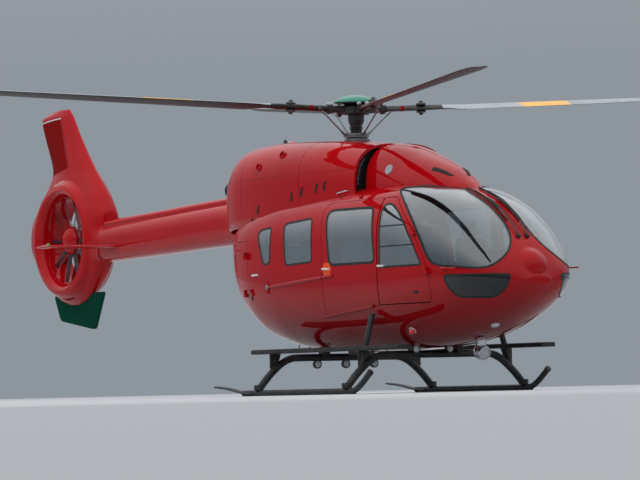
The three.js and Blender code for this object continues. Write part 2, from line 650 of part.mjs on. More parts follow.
// Tail unit: the fan shroud with the fin above it
// z, leading edge x, trailing edge x, greatest thickness
const TAIL_UNIT = [
  [1262, -6900, -7230, 60],
  [1330, -6690, -7450, 190],
  [1520, -6430, -7740, 330],
  [1800, -6200, -7960, 430],
  [2130, -6040, -8110, 470],
  [2400, -6040, -8060, 450],
  [2640, -6130, -7900, 400],
  [2850, -6280, -7740, 330],
  [3080, -6500, -7600, 270],
  [3530, -6870, -7800, 190],
  [3800, -7060, -7895, 150],
  [3900, -7150, -7500, 60],
];
const FAN = { x: -7070, z: 2130, radius: 575, ductRadius: 585, lipRadius: 690, halfDepth: 245 };
const FIN_FLAP = [[-7285, 3770], [-7010, 3095], [-7750, 2990], [-8000, 3730]];
const FIN_BUMPER = [[-6270, 1420], [-6540, 925], [-7470, 1060], [-7640, 1400]];

function tailUnitRing([z, leading, trailing, thickness], points = 18) {
  const [middle, half] = [(leading + trailing) / 2, (leading - trailing) / 2];
  return Array.from({ length: points }, (_, k) => {
    const angle = (2 * Math.PI * k) / points;
    const [c, s] = [Math.cos(angle), Math.sin(angle)];
    const taper = 1 - 0.35 * Math.max(0, -c);
    return vec(middle + half * Math.sign(c) * Math.abs(c) ** 0.85, (thickness / 2) * s * taper, z);
  });
}

const fanCentre = vec(FAN.x, 0, FAN.z);
const duct = turned([[0, -400], [FAN.lipRadius + 60, -400], [FAN.lipRadius, -FAN.halfDepth],
  [FAN.lipRadius - 60, -FAN.halfDepth + 45], [FAN.ductRadius, -FAN.halfDepth + 130], [FAN.ductRadius, 400],
  [0, 400]], fanCentre, Y_AXIS, 32);
const shroudRing = turned([[0, -FAN.halfDepth], [FAN.lipRadius + 40, -FAN.halfDepth],
  [FAN.lipRadius + 110, -FAN.halfDepth + 60], [FAN.lipRadius + 110, FAN.halfDepth - 60],
  [FAN.lipRadius + 40, FAN.halfDepth], [0, FAN.halfDepth]], fanCentre, Y_AXIS, 32);

// The boom's end section carried on into the unit, fading out over the fan's rim
const FAIRING = [
  [-6480, 2265, 1815, 165, 2040, 2.6, 2.6],
  [-6300, 2278, 1802, 190, 2040, 2.6, 2.6],
  [-6050, 2280, 1800, 195, 2040, 2.6, 2.6],
];
const fairing = (front, inset) => bodySolid(FAIRING, [-6480, -6300, front], inset, BOOM_POINTS, false);
const fanDisc = (radius) => (
  turned([[0, -400], [radius, -400], [radius, 400], [0, 400]], fanCentre, Y_AXIS, 32));
const finLoft = (rows, inset) => loft(rows.map(([z, leading, trailing, thickness]) => (
  tailUnitRing([z, leading - inset, trailing + inset, thickness - 2 * inset]))));
const tailUnit = join(finLoft(TAIL_UNIT, 0), shroudRing, fairing(-6050, 0))
  .subtract(box(TAIL_SPLIT_X - SEAT_GAP, TAIL_SPLIT_X + 400, -500, 500, 1200, 4000)).subtract(duct);

// The unit is a hollow shell: its inside is open towards the boom
const TAIL_WALL = 25;
const RING_HOLLOW = [[620, -100], [620, 215], [722, 215], [768, 168], [768, -165], [735, -208], [718, -208],
  [662, -165], [620, -100]];
const INNER_ROWS = TAIL_UNIT.slice(1, -1);
const outsideRing = join(finLoft(INNER_ROWS, TAIL_WALL), fairing(-6040, TAIL_WALL)).subtract(fanDisc(760));
const tailHollow = join(outsideRing, turned(RING_HOLLOW, fanCentre, Y_AXIS, 32))
  .subtract(sidePrism(grown(FIN_FLAP, TAIL_WALL), -400, 400));
const flapCut = sidePrism(grown(FIN_FLAP, SEAT_GAP), -400, 400);
addPart('tail_unit', tailUnit.subtract(flapCut).subtract(tailHollow), 'paint');
addPart('fin_flap', tailUnit.intersect(sidePrism(FIN_FLAP, -400, 400)), 'paint');
const bumper = sidePrism(FIN_BUMPER, -22, 22).subtract(finLoft(TAIL_UNIT, -2 * SEAT_GAP))
  .subtract(fanDisc(FAN.lipRadius + 111));
addPart('lower_fin', bumper, 'green');

// Tail fan
const FAN_BLADES = 10;
const STATOR_VANES = 11;
const FAN_HUB = { radius: 185, front: -110, back: 20 };

// A plate from the hub outwards; angle is its place round the fan axis and pitch is its own twist
function fanPlate({ y, inner, outer, chord, thickness, pitch, angle }) {
  const radial = vec(Math.cos(angle), 0, Math.sin(angle));
  const around = vec(-Math.sin(angle), 0, Math.cos(angle));
  const chordAxis = around.clone().multiplyScalar(Math.cos(pitch)).addScaledVector(Y_AXIS, Math.sin(pitch));
  const depthAxis = radial.clone().cross(chordAxis);
  const centre = vec(FAN.x, y, FAN.z);
  const diamond = [[-0.5, 0], [0, -0.5], [0.5, 0], [0, 0.5]];
  const rings = [inner, outer].map((radius) => diamond.map(([a, b]) => centre.clone()
    .addScaledVector(radial, radius)
    .addScaledVector(chordAxis, a * chord)
    .addScaledVector(depthAxis, b * thickness)));
  return loft(rings);
}

const FAN_HUB_PROFILE = [[0, FAN_HUB.front - 45], [90, FAN_HUB.front - 35], [160, FAN_HUB.front - 5],
  [FAN_HUB.radius, FAN_HUB.front + 30], [FAN_HUB.radius, FAN_HUB.back], [0, FAN_HUB.back]];
let tailRotor = turned(FAN_HUB_PROFILE, fanCentre, Y_AXIS);
for (let i = 0; i < FAN_BLADES; i++) {
  const blade = fanPlate({ y: -35, inner: 150, outer: FAN.radius, chord: 62, thickness: 12, pitch: 35 * DEG,
    angle: (2 * Math.PI * i) / FAN_BLADES });
  tailRotor = join(tailRotor, blade);
}
addPart('tail_rotor', tailRotor, 'grey');

const STATOR_Y = 120;
const STATOR_PROFILE = [[0, FAN_HUB.back + SEAT_GAP], [150, FAN_HUB.back + SEAT_GAP], [160, 60], [160, 170],
  [110, 225], [0, 235]];
let stator = turned(STATOR_PROFILE, fanCentre, Y_AXIS);
for (let i = 0; i < STATOR_VANES; i++) {
  const vane = fanPlate({ y: STATOR_Y, inner: 130, outer: 640, chord: 70, thickness: 12, pitch: 75 * DEG,
    angle: (2 * Math.PI * (i + 0.4)) / STATOR_VANES });
  stator = join(stator, vane);
}
addPart('fan_stator', stator.intersect(fanDisc(FAN.ductRadius - SEAT_GAP)), 'paint');

// Main rotor, built level round its own axis and then tilted forward
const rotorGroup = new THREE.Group();
rotorGroup.position.copy(HUB_CENTRE);
rotorGroup.rotation.y = SHAFT_TILT;
helicopter.add(rotorGroup);
const BLADES = 4;
const FIRST_BLADE = -18 * DEG;
const PRECONE = 2.5 * DEG;
const ARM = { root: 90, end: 360, halfWidth: 75, halfHeight: 42 };

// A frame for blade i: outwards along the blade, sideways to its leading edge, and up
function bladeFrame(i) {
  const azimuth = FIRST_BLADE + (i * 2 * Math.PI) / BLADES;
  const level = vec(Math.cos(azimuth), Math.sin(azimuth), 0);
  const out = level.clone().multiplyScalar(Math.cos(PRECONE)).addScaledVector(Z_AXIS, Math.sin(PRECONE));
  const lead = Z_AXIS.clone().cross(level);
  return { out, lead, up: out.clone().cross(lead) };
}

function atBlade(frame, out, lead, up) {
  return vec(0, 0, 0)
    .addScaledVector(frame.out, out)
    .addScaledVector(frame.lead, lead)
    .addScaledVector(frame.up, up);
}

const HUB = [[0, -55], [150, -55], [175, -20], [175, 40], [140, 62], [0, 62]];
let hub = turned(HUB, vec(0, 0, 0));
for (let i = 0; i < BLADES; i++) {
  const frame = bladeFrame(i);
  const { root, end, halfWidth, halfHeight } = ARM;
  const corners = [[-1, -1], [1, -1], [1, 1], [-1, 1]];
  const ring = (reach) => corners.map(([a, b]) => atBlade(frame, reach, a * halfWidth, b * halfHeight));
  const rings = [root, end].map(ring);
  hub = join(hub, loft(rings));
}
const mast = cylinder(MAST_RADIUS, vec(0, 0, MAST_BOTTOM), vec(0, 0, -50), 24);
addPart('mast_and_hub', join(hub, mast), 'black', rotorGroup);

// Distance from the hub, chord, thickness, leading edge ahead of the pitch axis, pitch in degrees
const BLADE = [
  [ARM.end + SEAT_GAP, 130, 74, 65, 12],
  [620, 120, 66, 60, 12],
  [700, 150, 70, 75, 12],
  [1050, 150, 56, 70, 11.5],
  [1350, 325, 42, 95, 11],
  [3000, 325, 39, 95, 9],
  [4950, 325, 36, 95, 6],
  [5250, 285, 30, 70, 5.4],
  [5430, 215, 22, 25, 5.1],
  [5500, 130, 12, -30, 5],
];

function bladeRing(frame, [radius, chord, thickness, leading, pitchDegrees]) {
  const pitch = pitchDegrees * DEG;
  return wingSection(chord, thickness, 8).map(([along, up]) => {
    const lead = along - 0.35 * chord + leading;
    return atBlade(frame, radius, lead * Math.cos(pitch) - up * Math.sin(pitch),
      lead * Math.sin(pitch) + up * Math.cos(pitch));
  });
}

const DAMPER = { radius: 58, pinRadius: 24, place: 800, near: 34, far: 86 };
const HORN = { radius: 20, place: 470, reach: 165, drop: -20 };
for (let i = 0; i < BLADES; i++) {
  const frame = bladeFrame(i);
  const { radius, pinRadius, place, near, far } = DAMPER;
  const at = (out, lead, up) => atBlade(frame, out, lead, up);
  const damper = join(
    cylinder(pinRadius, at(place, 0, -near), at(place, 0, near), 6),
    cylinder(radius, at(place, 0, near), at(place, 0, far), 12),
    cylinder(radius, at(place, 0, -near), at(place, 0, -far), 12),
  );
  const horn = cylinder(HORN.radius, at(HORN.place, 0, 0), at(HORN.place, HORN.reach, HORN.drop), 8);
  const blade = join(loft(BLADE.map((row) => bladeRing(frame, row))), damper, horn);
  addPart(`main_blade_${i + 1}`, blade, 'blade', rotorGroup);
}

const CAP_RADIUS = 265;
const CAP = [[0, 62 + SEAT_GAP], [130, 62 + SEAT_GAP], [175, 80], [CAP_RADIUS - 15, 86], [CAP_RADIUS, 100],
  [CAP_RADIUS - 18, 125], [195, 155], [100, 176], [0, 182]];
const cap = turned(CAP, vec(0, 0, 0), Z_AXIS, 24);
addPart('rotor_cap', cap, 'teal', rotorGroup);

// Swashplate: the lower ring stays, and the upper ring turns with the rotor and carries the pitch links
const SWASH = { inner: 100, outer: 152, low: -322, split: -300, high: -272 };
const ringProfile = (low, high) => [[SWASH.inner, low], [SWASH.outer, low], [SWASH.outer, high],
  [SWASH.inner, high], [SWASH.inner, low]];
const lowerRing = turned(ringProfile(SWASH.low, SWASH.split), vec(0, 0, 0));
addPart('swashplate_lower', lowerRing, 'grey', rotorGroup);
let upperRing = turned(ringProfile(SWASH.split + SEAT_GAP, SWASH.high), vec(0, 0, 0));
for (let i = 0; i < BLADES; i++) {
  const frame = bladeFrame(i);
  const hornEnd = atBlade(frame, HORN.place, HORN.reach - 15, HORN.drop);
  const flat = vec(hornEnd.x, hornEnd.y, 0).normalize();
  const foot = flat.clone().multiplyScalar(SWASH.outer + 15).setZ((SWASH.split + SWASH.high) / 2);
  const ear = cylinder(12, flat.clone().multiplyScalar(SWASH.outer - 20).setZ(foot.z), foot, 8);
  const top = hornEnd.clone().addScaledVector(hornEnd.clone().sub(foot).normalize(), -21 - SEAT_GAP);
  upperRing = join(upperRing, ear, cylinder(11, foot, top, 8));
}
addPart('swashplate_upper', upperRing, 'metal', rotorGroup);

// Landing gear
const SKID = { y: -1220, radius: 34, rear: -700, bend: 1770, tipX: 2070, tipZ: 235 };
const SHOE = { halfWidth: 24, halfLength: 160, x: [-350, 1580] };
const CROSS_TUBES = [
  { name: 'rear', x: -350, lightYs: [-400, 0, 400] },
  { name: 'front', x: 1580, lightYs: [-230, 230] },
];
const CROSS_RADIUS = 43;
const CROSS_TOP_Z = 440;
const STEP = { y0: -1075, y1: -895, x0: -760, x1: 2440, z0: 490, z1: 545 };

function skidTube(extra) {
  const { y, radius, rear, bend, tipX, tipZ } = SKID;
  const path = [[rear, radius], [bend - 110, radius], [bend, radius + 22], [bend + 90, radius + 70],
    [tipX, tipZ]];
  return bar(path.map(([x, z]) => vec(x, y, z)), radius + extra, Y_AXIS, 12);
}

function skidSolid() {
  const { y } = SKID;
  const tail = [[-1310, 105], [-1060, 84], [-640, 22], [-450, 14], [-450, 40], [-640, 46], [-1060, 102],
    [-1310, 123]];
  const plate = sidePrism(tail, y - 48, y + 48);
  const shoes = SHOE.x.map((x) => (
    box(x - SHOE.halfLength, x + SHOE.halfLength, y - SHOE.halfWidth, y + SHOE.halfWidth, 0, 20)));
  return join(skidTube(0), plate, ...shoes);
}

// A cross tube from skid to skid: half of its centre line as [y, z], from the middle outwards
const ARCH = [[0, CROSS_TOP_Z], [-720, CROSS_TOP_Z], [-830, 415], [-920, 370], [-1000, 300],
  [SKID.y + 18, 95]];
const skidClearance = bothSides(skidTube(SEAT_GAP));
addPair('skid', skidSolid(), 'black');

const STRUT = { foot: [-1040, 255], top: [-850, 920], radius: 34 };
const strutAt = (x, radius) => (
  bar([STRUT.foot, STRUT.top].map(([y, z]) => vec(x, y, z)), radius, X_AXIS, 10));
const step = box(STEP.x0, STEP.x1, STEP.y0, STEP.y1, STEP.z0, STEP.z1)
  .subtract(strutAt(CROSS_TUBES[1].x, STRUT.radius + 2 * SEAT_GAP));

// A round lamp that hangs from a cross tube
const LIGHT = { radius: 52, halfDepth: 32, z: 360, behind: 15, stalkRadius: 14 };

function bellyLight(x, y) {
  const centre = vec(x, y, LIGHT.z);
  return join(
    cylinder(LIGHT.radius, vec(x - LIGHT.halfDepth, y, LIGHT.z), vec(x + LIGHT.halfDepth, y, LIGHT.z), 12),
    cylinder(LIGHT.stalkRadius, centre, vec(x, y, CROSS_TOP_Z), 6),
  );
}

const GUSSET = { halfThickness: 8, reach: 150, depth: 170 };
for (const { name, x, lightYs } of CROSS_TUBES) {
  const half = ARCH.map(([y, z]) => vec(x, y, z));
  const otherHalf = half.slice(1).reverse().map((p) => vec(p.x, -p.y, p.z));
  const tube = bar([...otherHalf, ...half], CROSS_RADIUS, X_AXIS, 8);
  const saddle = cylinder(CROSS_RADIUS + 14, vec(x, SKID.y, SKID.radius), vec(x, SKID.y, 130), 10);
  const mounts = [-300, 300].map((y) => box(x - 70, x + 70, y - 45, y + 45, CROSS_TOP_Z, 700));
  const { halfThickness, reach, depth } = GUSSET;
  const gusset = [[0, 0], [0, -depth], [reach * 0.6, -depth], [reach, 0]];
  const corner = vec(x, STEP.y0 + 15, STEP.z0 - SEAT_GAP);
  const bracket = prismAt(gusset, corner, Y_AXIS, Z_AXIS, X_AXIS, -halfThickness, halfThickness);
  const parts = [tube, bothSides(saddle), bothSides(bracket), ...mounts];
  if (name === 'front') parts.push(bothSides(strutAt(x, STRUT.radius)));
  const lights = lightYs.map((y) => bellyLight(x - LIGHT.behind, y));
  const cut = join(...parts, ...lights).subtract(skidClearance).subtract(cabinClearance);
  addPart(`cross_tube_${name}`, cut, 'black');
}
addPair('step', step, 'black');

// Searchlight under the nose
const SEARCHLIGHT = vec(2330, 120, 440);
const LAMP = { radius: 80, back: vec(-70, 0, 15), front: vec(80, 0, -15) };
const YOKE = { halfDepth: 30, halfWidth: 100, low: 420, high: 512, stemRadius: 60 };
const lamp = join(
  cylinder(LAMP.radius, SEARCHLIGHT.clone().add(LAMP.back), SEARCHLIGHT.clone().add(LAMP.front), 20),
  box(SEARCHLIGHT.x - YOKE.halfDepth, SEARCHLIGHT.x + YOKE.halfDepth, SEARCHLIGHT.y - YOKE.halfWidth,
    SEARCHLIGHT.y + YOKE.halfWidth, YOKE.low, YOKE.high),
  cylinder(YOKE.stemRadius, SEARCHLIGHT.clone().setZ(YOKE.high - 12), SEARCHLIGHT.clone().setZ(800), 20),
).subtract(cabinClearance);
addPart('searchlight', lamp, 'metal');

// Cabin fittings
const SEAT = {
  width: 470, depth: 460, panZ: 330, panHeight: 90, backHeight: 620, backDepth: 90, lean: 110, headWidth: 250,
};
const PEDESTAL = { halfLength: 160, halfWidth: 120 };
const HEADREST = [[-105, -20], [-30, -20], [-55, 190], [-125, 190]];

// A seat facing forward, its base at the floor and its middle at x, y
function seat(x, y) {
  const { width, depth, panZ, panHeight, backHeight, backDepth, lean, headWidth } = SEAT;
  const { halfLength, halfWidth } = PEDESTAL;
  const base = FLOOR_Z + SEAT_GAP;
  const pan = base + panZ;
  const top = pan + backHeight;
  const half = width / 2;
  const rear = x - depth / 2;
  const back = [[rear, pan], [rear + backDepth, pan], [rear + backDepth - lean, top], [rear - lean, top]];
  const head = HEADREST.map(([ahead, above]) => [rear + ahead, top + above]);
  return join(
    box(rear - 20, x + depth / 2, y - half, y + half, pan, pan + panHeight),
    box(x - halfLength, x + halfLength, y - halfWidth, y + halfWidth, base, pan + 10),
    sidePrism(back, y - half, y + half),
    sidePrism(head, y - headWidth / 2, y + headWidth / 2),
  );
}

addPair('pilot_seat', seat(2060, -390), 'cloth');
const CABIN_ROWS = [{ name: 'front', x: 1020 }, { name: 'rear', x: -100 }];
const SEATS_ACROSS = [-500, 0, 500];
for (const { name, x } of CABIN_ROWS) {
  const rail = box(x - 40, x + 40, -500, 500, FLOOR_Z + 200, FLOOR_Z + 260);
  addPart(`cabin_seats_${name}`, join(rail, ...SEATS_ACROSS.map((y) => seat(x, y))), 'cloth');
}
const PANEL_HALF_WIDTH = 480;
const CONSOLE_HALF_WIDTH = 130;
const PANEL_SIDE = [[2850, 1330], [3020, 1330], [3020, 1480], [2890, 1600], [2810, 1580]];
const CONSOLE_SIDE = [[2420, FLOOR_Z + SEAT_GAP], [3000, FLOOR_Z + SEAT_GAP], [3000, 1400], [2860, 1400],
  [2780, 1120], [2420, 1060]];
const panel = join(
  sidePrism(PANEL_SIDE, -PANEL_HALF_WIDTH, PANEL_HALF_WIDTH),
  sidePrism(CONSOLE_SIDE, -CONSOLE_HALF_WIDTH, CONSOLE_HALF_WIDTH),
);
addPart('instrument_panel', panel, 'black');

export default helicopter;
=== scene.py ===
"""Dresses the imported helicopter: smooth skins, glass, seats, rotors, landing gear, stage and camera.

Lengths are millimetres, laid out from the main mast: X forward, Y to the left, Z up from the ground.
dress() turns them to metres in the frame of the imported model.
"""

import json
import logging
import math
from collections.abc import Callable, Sequence
from dataclasses import dataclass
from enum import Enum

import bpy
import numpy as np
from mathutils import Matrix, Vector
from mathutils.geometry import tessellate_polygon

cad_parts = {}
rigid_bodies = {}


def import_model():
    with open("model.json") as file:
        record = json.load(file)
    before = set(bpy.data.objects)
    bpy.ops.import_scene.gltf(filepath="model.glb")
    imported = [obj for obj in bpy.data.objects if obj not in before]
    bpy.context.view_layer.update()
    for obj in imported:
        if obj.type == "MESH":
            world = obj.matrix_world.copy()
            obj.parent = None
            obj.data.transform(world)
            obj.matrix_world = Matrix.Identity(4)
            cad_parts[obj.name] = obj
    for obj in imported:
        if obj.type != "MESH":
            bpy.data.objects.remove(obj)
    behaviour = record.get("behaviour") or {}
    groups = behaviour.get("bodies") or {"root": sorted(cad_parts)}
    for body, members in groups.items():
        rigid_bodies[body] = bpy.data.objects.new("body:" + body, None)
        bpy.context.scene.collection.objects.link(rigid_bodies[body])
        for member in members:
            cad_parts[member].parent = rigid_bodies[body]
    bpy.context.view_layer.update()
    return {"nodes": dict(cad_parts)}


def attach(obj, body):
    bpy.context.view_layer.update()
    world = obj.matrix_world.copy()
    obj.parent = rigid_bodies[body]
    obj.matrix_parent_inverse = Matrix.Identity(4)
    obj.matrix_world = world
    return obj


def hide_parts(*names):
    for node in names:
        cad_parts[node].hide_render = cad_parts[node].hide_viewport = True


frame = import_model()
LOG = logging.getLogger("helicopter")

Array = np.ndarray
Outline = Sequence[tuple[float, float]]
Point = tuple[float, float, float]
Tree = bpy.types.NodeTree
Node = bpy.types.Node
Socket = bpy.types.NodeSocket
# Metres in a millimetre
MM = 0.001
# The main mast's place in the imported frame
MAST_X = 1444.0
# The gap between pieces that fit against each other
SEAT_GAP = 0.3
# A distance sideways that is past the widest point of the cabin
OUTSIDE = 1300.0
X_AXIS = np.array([1.0, 0.0, 0.0])
Y_AXIS = np.array([0.0, 1.0, 0.0])
Z_AXIS = np.array([0.0, 0.0, 1.0])


class Body(Enum):
    """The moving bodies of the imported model."""

    AIRFRAME = "airframe"
    MAIN_ROTOR = "main_rotor"
    TAIL_ROTOR = "tail_rotor"
    FRONT_DOOR_RIGHT = "front_door_right"
    FRONT_DOOR_LEFT = "front_door_left"
    REAR_DOOR_RIGHT = "rear_door_right"
    REAR_DOOR_LEFT = "rear_door_left"


STILL = (Body.AIRFRAME, Body.AIRFRAME)
FRONT_DOORS = (Body.FRONT_DOOR_RIGHT, Body.FRONT_DOOR_LEFT)
REAR_DOORS = (Body.REAR_DOOR_RIGHT, Body.REAR_DOOR_LEFT)


class Slot(Enum):
    """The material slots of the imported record."""

    RED = "red_paint"
    DARK_RED = "dark_red_paint"
    BLACK = "black_paint"
    GREY_METAL = "grey_metal"
    STEEL = "steel"
    BLADE = "blade_composite"
    TEAL = "teal_paint"
    GREEN = "green_paint"
    GLASS = "clear_glass"
    CLOTH = "seat_cloth"


class Operation(Enum):
    """How two closed meshes are put together."""

    JOIN = "UNION"
    CUT = "DIFFERENCE"
    KEEP = "INTERSECT"


# Finishes


def linear(colour: str) -> tuple[float, float, float, float]:
    """Turns an sRGB hex colour to linear red, green, blue and alpha."""
    parts = [int(colour[i : i + 2], 16) / 255 for i in (1, 3, 5)]
    red, green, blue = (p / 12.92 if p <= 0.04045 else ((p + 0.055) / 1.055) ** 2.4 for p in parts)
    return (red, green, blue, 1.0)


def add(tree: Tree, kind: str, inputs: dict | None = None, **settings: object) -> Node:
    """Adds a node to a material.

    Args:
        tree: The node tree.
        kind: The node's type without "ShaderNode" in front.
        inputs: Socket name or number to a value, or to another node's output, which is linked.
        **settings: Properties of the node.

    Returns:
        The new node.
    """
    node = tree.nodes.new("ShaderNode" + kind)
    for key, value in settings.items():
        setattr(node, key, value)
    for key, value in (inputs or {}).items():
        if isinstance(value, Socket):
            tree.links.new(value, node.inputs[key])
        else:
            node.inputs[key].default_value = value
    return node


@dataclass(frozen=True)
class Finish:
    """A surface finish. A subclass adds its own pattern to the shader."""

    name: str
    colour: str
    roughness: float = 0.4
    metallic: float = 0.0

    def material(self) -> bpy.types.Material:
        """Returns the finish's material, made on its first use."""
        made = bpy.data.materials.get(self.name)
        if made:
            return made
        made = bpy.data.materials.new(self.name)
        made.use_nodes = True
        tree = made.node_tree
        tree.nodes.clear()
        place = add(tree, "TexCoord").outputs["Object"]
        shader = add(tree, "BsdfPrincipled")
        shader.inputs["Base Color"].default_value = linear(self.colour)
        shader.inputs["Roughness"].default_value = self.roughness
        shader.inputs["Metallic"].default_value = self.metallic
        made.diffuse_color = linear(self.colour)
        self.dress_shader(tree, shader, place)
        add(tree, "OutputMaterial", {"Surface": self.surface(tree, shader)})
        return made

    def surface(self, tree: Tree, shader: Node) -> Socket:
        """Returns what the material shows; a clear finish puts its own mix here."""
        return shader.outputs[0]

    def dress_shader(self, tree: Tree, shader: Node, place: Socket) -> None:
        """Adds the finish's own pattern; the plain finish has a faint mottle in its roughness."""
        mottle = add(tree, "TexNoise", {"Vector": place, "Scale": 9.0, "Detail": 3.0})
        self.vary_roughness(tree, shader, mottle, 0.05, 0.06)

    def vary_roughness(self, tree: Tree, shader: Node, pattern: Node, less: float, more: float) -> None:
        """Lets a pattern from 0 to 1 move the roughness from less below its own value to more above it."""
        low, high = self.roughness - less, self.roughness + more
        spread = add(tree, "MapRange", {"Value": pattern.outputs[0], 3: low, 4: high})
        tree.links.new(spread.outputs[0], shader.inputs["Roughness"])

    def blend(self, tree: Tree, shader: Node, amount: Node, first: str, second: str) -> None:
        """Colours the surface between two hex colours, by an amount from 0 to 1."""
        mix = add(tree, "Mix", {0: amount.outputs[0], 6: linear(first), 7: linear(second)}, data_type="RGBA")
        tree.links.new(mix.outputs[2], shader.inputs["Base Color"])

    def bumped(self, tree: Tree, shader: Node, height: Socket,
               distance: float, strength: float = 0.5) -> None:
        """Raises the surface by a height pattern, over a distance in metres."""
        bump = add(tree, "Bump", {"Height": height, "Distance": distance, "Strength": strength})
        tree.links.new(bump.outputs[0], shader.inputs["Normal"])


@dataclass(frozen=True)
class GlossPaint(Finish):
    """Two-pack polyurethane paint, sprayed over composite skin: a hard gloss over slightly uneven colour.

    Its colour blends towards the shade colour by height, with a soft noise through it. Where the blend grows
    downwards, as on the red skin, it is painted shade that darkens the skin towards the belly.
    """

    # The darker colour that the tone patches and the blend by height go towards; low on the red skin that
    # blend is painted shade
    shade: str = "#000000"
    shade_top: float = 0.9
    shade_full: float = 0.45
    shade_weight: float = 0.75
    patchy: float = 0.3
    coat: float = 1.0
    coat_ior: float = 1.32
    coat_roughness: float = 0.04

    def dress_shader(self, tree: Tree, shader: Node, place: Socket) -> None:
        """Adds tone patches 0.5 m across, orange peel drawn at 12 mm, and a blend towards the shade colour by
        height, which on the red skin is painted shade, darkest at the belly.
        """
        patches = add(tree, "TexNoise", {"Vector": place, "Scale": 2.0, "Detail": 4.0, "Roughness": 0.6})
        tone = add(tree, "MapRange", {"Value": patches.outputs[0], 1: 0.3, 2: 0.75, 3: 0.0, 4: self.patchy})
        # Painted shade: the colour darkens by height, towards the belly on the red skin, broken up by a soft
        # noise
        low = add(tree, "SeparateXYZ", {0: place})
        span = {1: self.shade_top, 2: self.shade_full, 3: 0.0, 4: self.shade_weight}
        shade_by_height = add(tree, "MapRange", {"Value": low.outputs[2], **span})
        streaks = add(tree, "TexNoise", {"Vector": place, "Scale": 7.0, "Detail": 6.0, "Roughness": 0.65})
        soft = add(tree, "MapRange", {"Value": streaks.outputs[0], 3: 0.38, 4: 0.62})
        height_shade = add(tree, "Math", {0: shade_by_height.outputs[0], 1: soft.outputs[0]}, operation="MULTIPLY")
        amount = add(tree, "Math", {0: tone.outputs[0], 1: height_shade.outputs[0]}, operation="ADD", use_clamp=True)
        self.blend(tree, shader, amount, self.colour, self.shade)
        self.vary_roughness(tree, shader, amount, 0.0, 0.2)
        # Real orange peel is about 3 mm across, which is too fine to show
        peel = add(tree, "TexNoise", {"Vector": place, "Scale": 80.0, "Detail": 1.0})
        self.bumped(tree, shader, peel.outputs[0], 0.0003, 0.1)
        # The clear coat alone is glossy; its low IOR keeps the red as deep as it looks outdoors
        shader.inputs["Specular IOR Level"].default_value = 0.0
        shader.inputs["Coat Weight"].default_value = self.coat
        shader.inputs["Coat IOR"].default_value = self.coat_ior
        shader.inputs["Coat Roughness"].default_value = self.coat_roughness


@dataclass(frozen=True)
class WornPaint(Finish):
    """Powder coat on tube and plate, scuffed by boots and grit to a greyer, duller tone."""

    worn: str = "#5a5c5e"
    amount: float = 0.35

    def dress_shader(self, tree: Tree, shader: Node, place: Socket) -> None:
        """Adds scuffs 20 mm across inside patches 200 mm across, and a fine grain drawn at 5 mm."""
        patches = add(tree, "TexNoise", {"Vector": place, "Scale": 5.0, "Detail": 5.0, "Roughness": 0.7})
        scuffs = add(tree, "TexNoise", {"Vector": place, "Scale": 50.0, "Detail": 6.0, "Roughness": 0.7})
        both = add(tree, "Math", {0: patches.outputs[0], 1: scuffs.outputs[0]}, operation="MULTIPLY")
        wear = add(tree, "MapRange", {"Value": both.outputs[0], 1: 0.22, 2: 0.42, 3: 0.0, 4: self.amount})
        self.blend(tree, shader, wear, self.colour, self.worn)
        self.vary_roughness(tree, shader, scuffs, 0.08, 0.12)
        grain = add(tree, "TexNoise", {"Vector": place, "Scale": 200.0, "Detail": 2.0})
        self.bumped(tree, shader, grain.outputs[0], 0.0006, 0.3)


@dataclass(frozen=True)
class BrushedMetal(Finish):
    """Machined steel or anodised aluminium: fine lines along the part, a little uneven in polish."""

    metallic: float = 1.0
    scale: tuple[float, float, float] = (12.0, 12.0, 260.0)

    def dress_shader(self, tree: Tree, shader: Node, place: Socket) -> None:
        """Adds machining lines 4 mm apart, drawn coarser than real ones so that they show."""
        stretched = add(tree, "Mapping", {"Vector": place, "Scale": self.scale})
        lines = add(tree, "TexNoise", {"Vector": stretched.outputs[0], "Scale": 1.0, "Detail": 3.0})
        self.vary_roughness(tree, shader, lines, 0.1, 0.15)
        self.bumped(tree, shader, lines.outputs[0], 0.0003, 0.25)


@dataclass(frozen=True)
class BladeSkin(Finish):
    """Painted glass-fibre blade skin: matt, with streaks that the air draws from root to tip."""

    streak: str = "#6a6d70"

    def dress_shader(self, tree: Tree, shader: Node, place: Socket) -> None:
        """Adds soft smears about 0.3 m across and a fine weave grain drawn at 6 mm."""
        smears = add(tree, "TexNoise", {"Vector": place, "Scale": 3.5, "Detail": 8.0, "Roughness": 0.7})
        amount = add(tree, "MapRange", {"Value": smears.outputs[0], 1: 0.4, 2: 0.75, 3: 0.0, 4: 0.45})
        self.blend(tree, shader, amount, self.colour, self.streak)
        grain = add(tree, "TexNoise", {"Vector": place, "Scale": 160.0, "Detail": 2.0})
        self.bumped(tree, shader, grain.outputs[0], 0.0004, 0.2)


@dataclass(frozen=True)
class ClearAcrylic(Finish):
    """Stretched acrylic sheet: almost colourless, with a mirror gloss that grows towards its edges."""

    tint: str = "#dfe4e6"
    facing_gloss: float = 0.27
    metallic: float = 1.0

    def dress_shader(self, tree: Tree, shader: Node, place: Socket) -> None:
        """Adds a slow ripple of the formed sheet, about 0.4 m across, to its reflections."""
        ripple = add(tree, "TexNoise", {"Vector": place, "Scale": 2.5, "Detail": 1.0})
        self.bumped(tree, shader, ripple.outputs[0], 0.004, 0.25)

    def surface(self, tree: Tree, shader: Node) -> Socket:
        """Returns the clear sheet with its gloss: the share reflected rises with (1 - cos of the angle)^3."""
        clear = add(tree, "BsdfTransparent", {"Color": linear(self.tint)})
        facing = add(tree, "LayerWeight", {"Blend": 0.5})
        rise = add(tree, "Math", {0: facing.outputs["Facing"], 1: 3.0}, operation="POWER")
        share = add(tree, "MapRange", {"Value": rise.outputs[0], 3: self.facing_gloss, 4: 1.0})
        mix = add(tree, "MixShader", {0: share.outputs[0], 1: clear.outputs[0], 2: shader.outputs[0]})
        return mix.outputs[0]


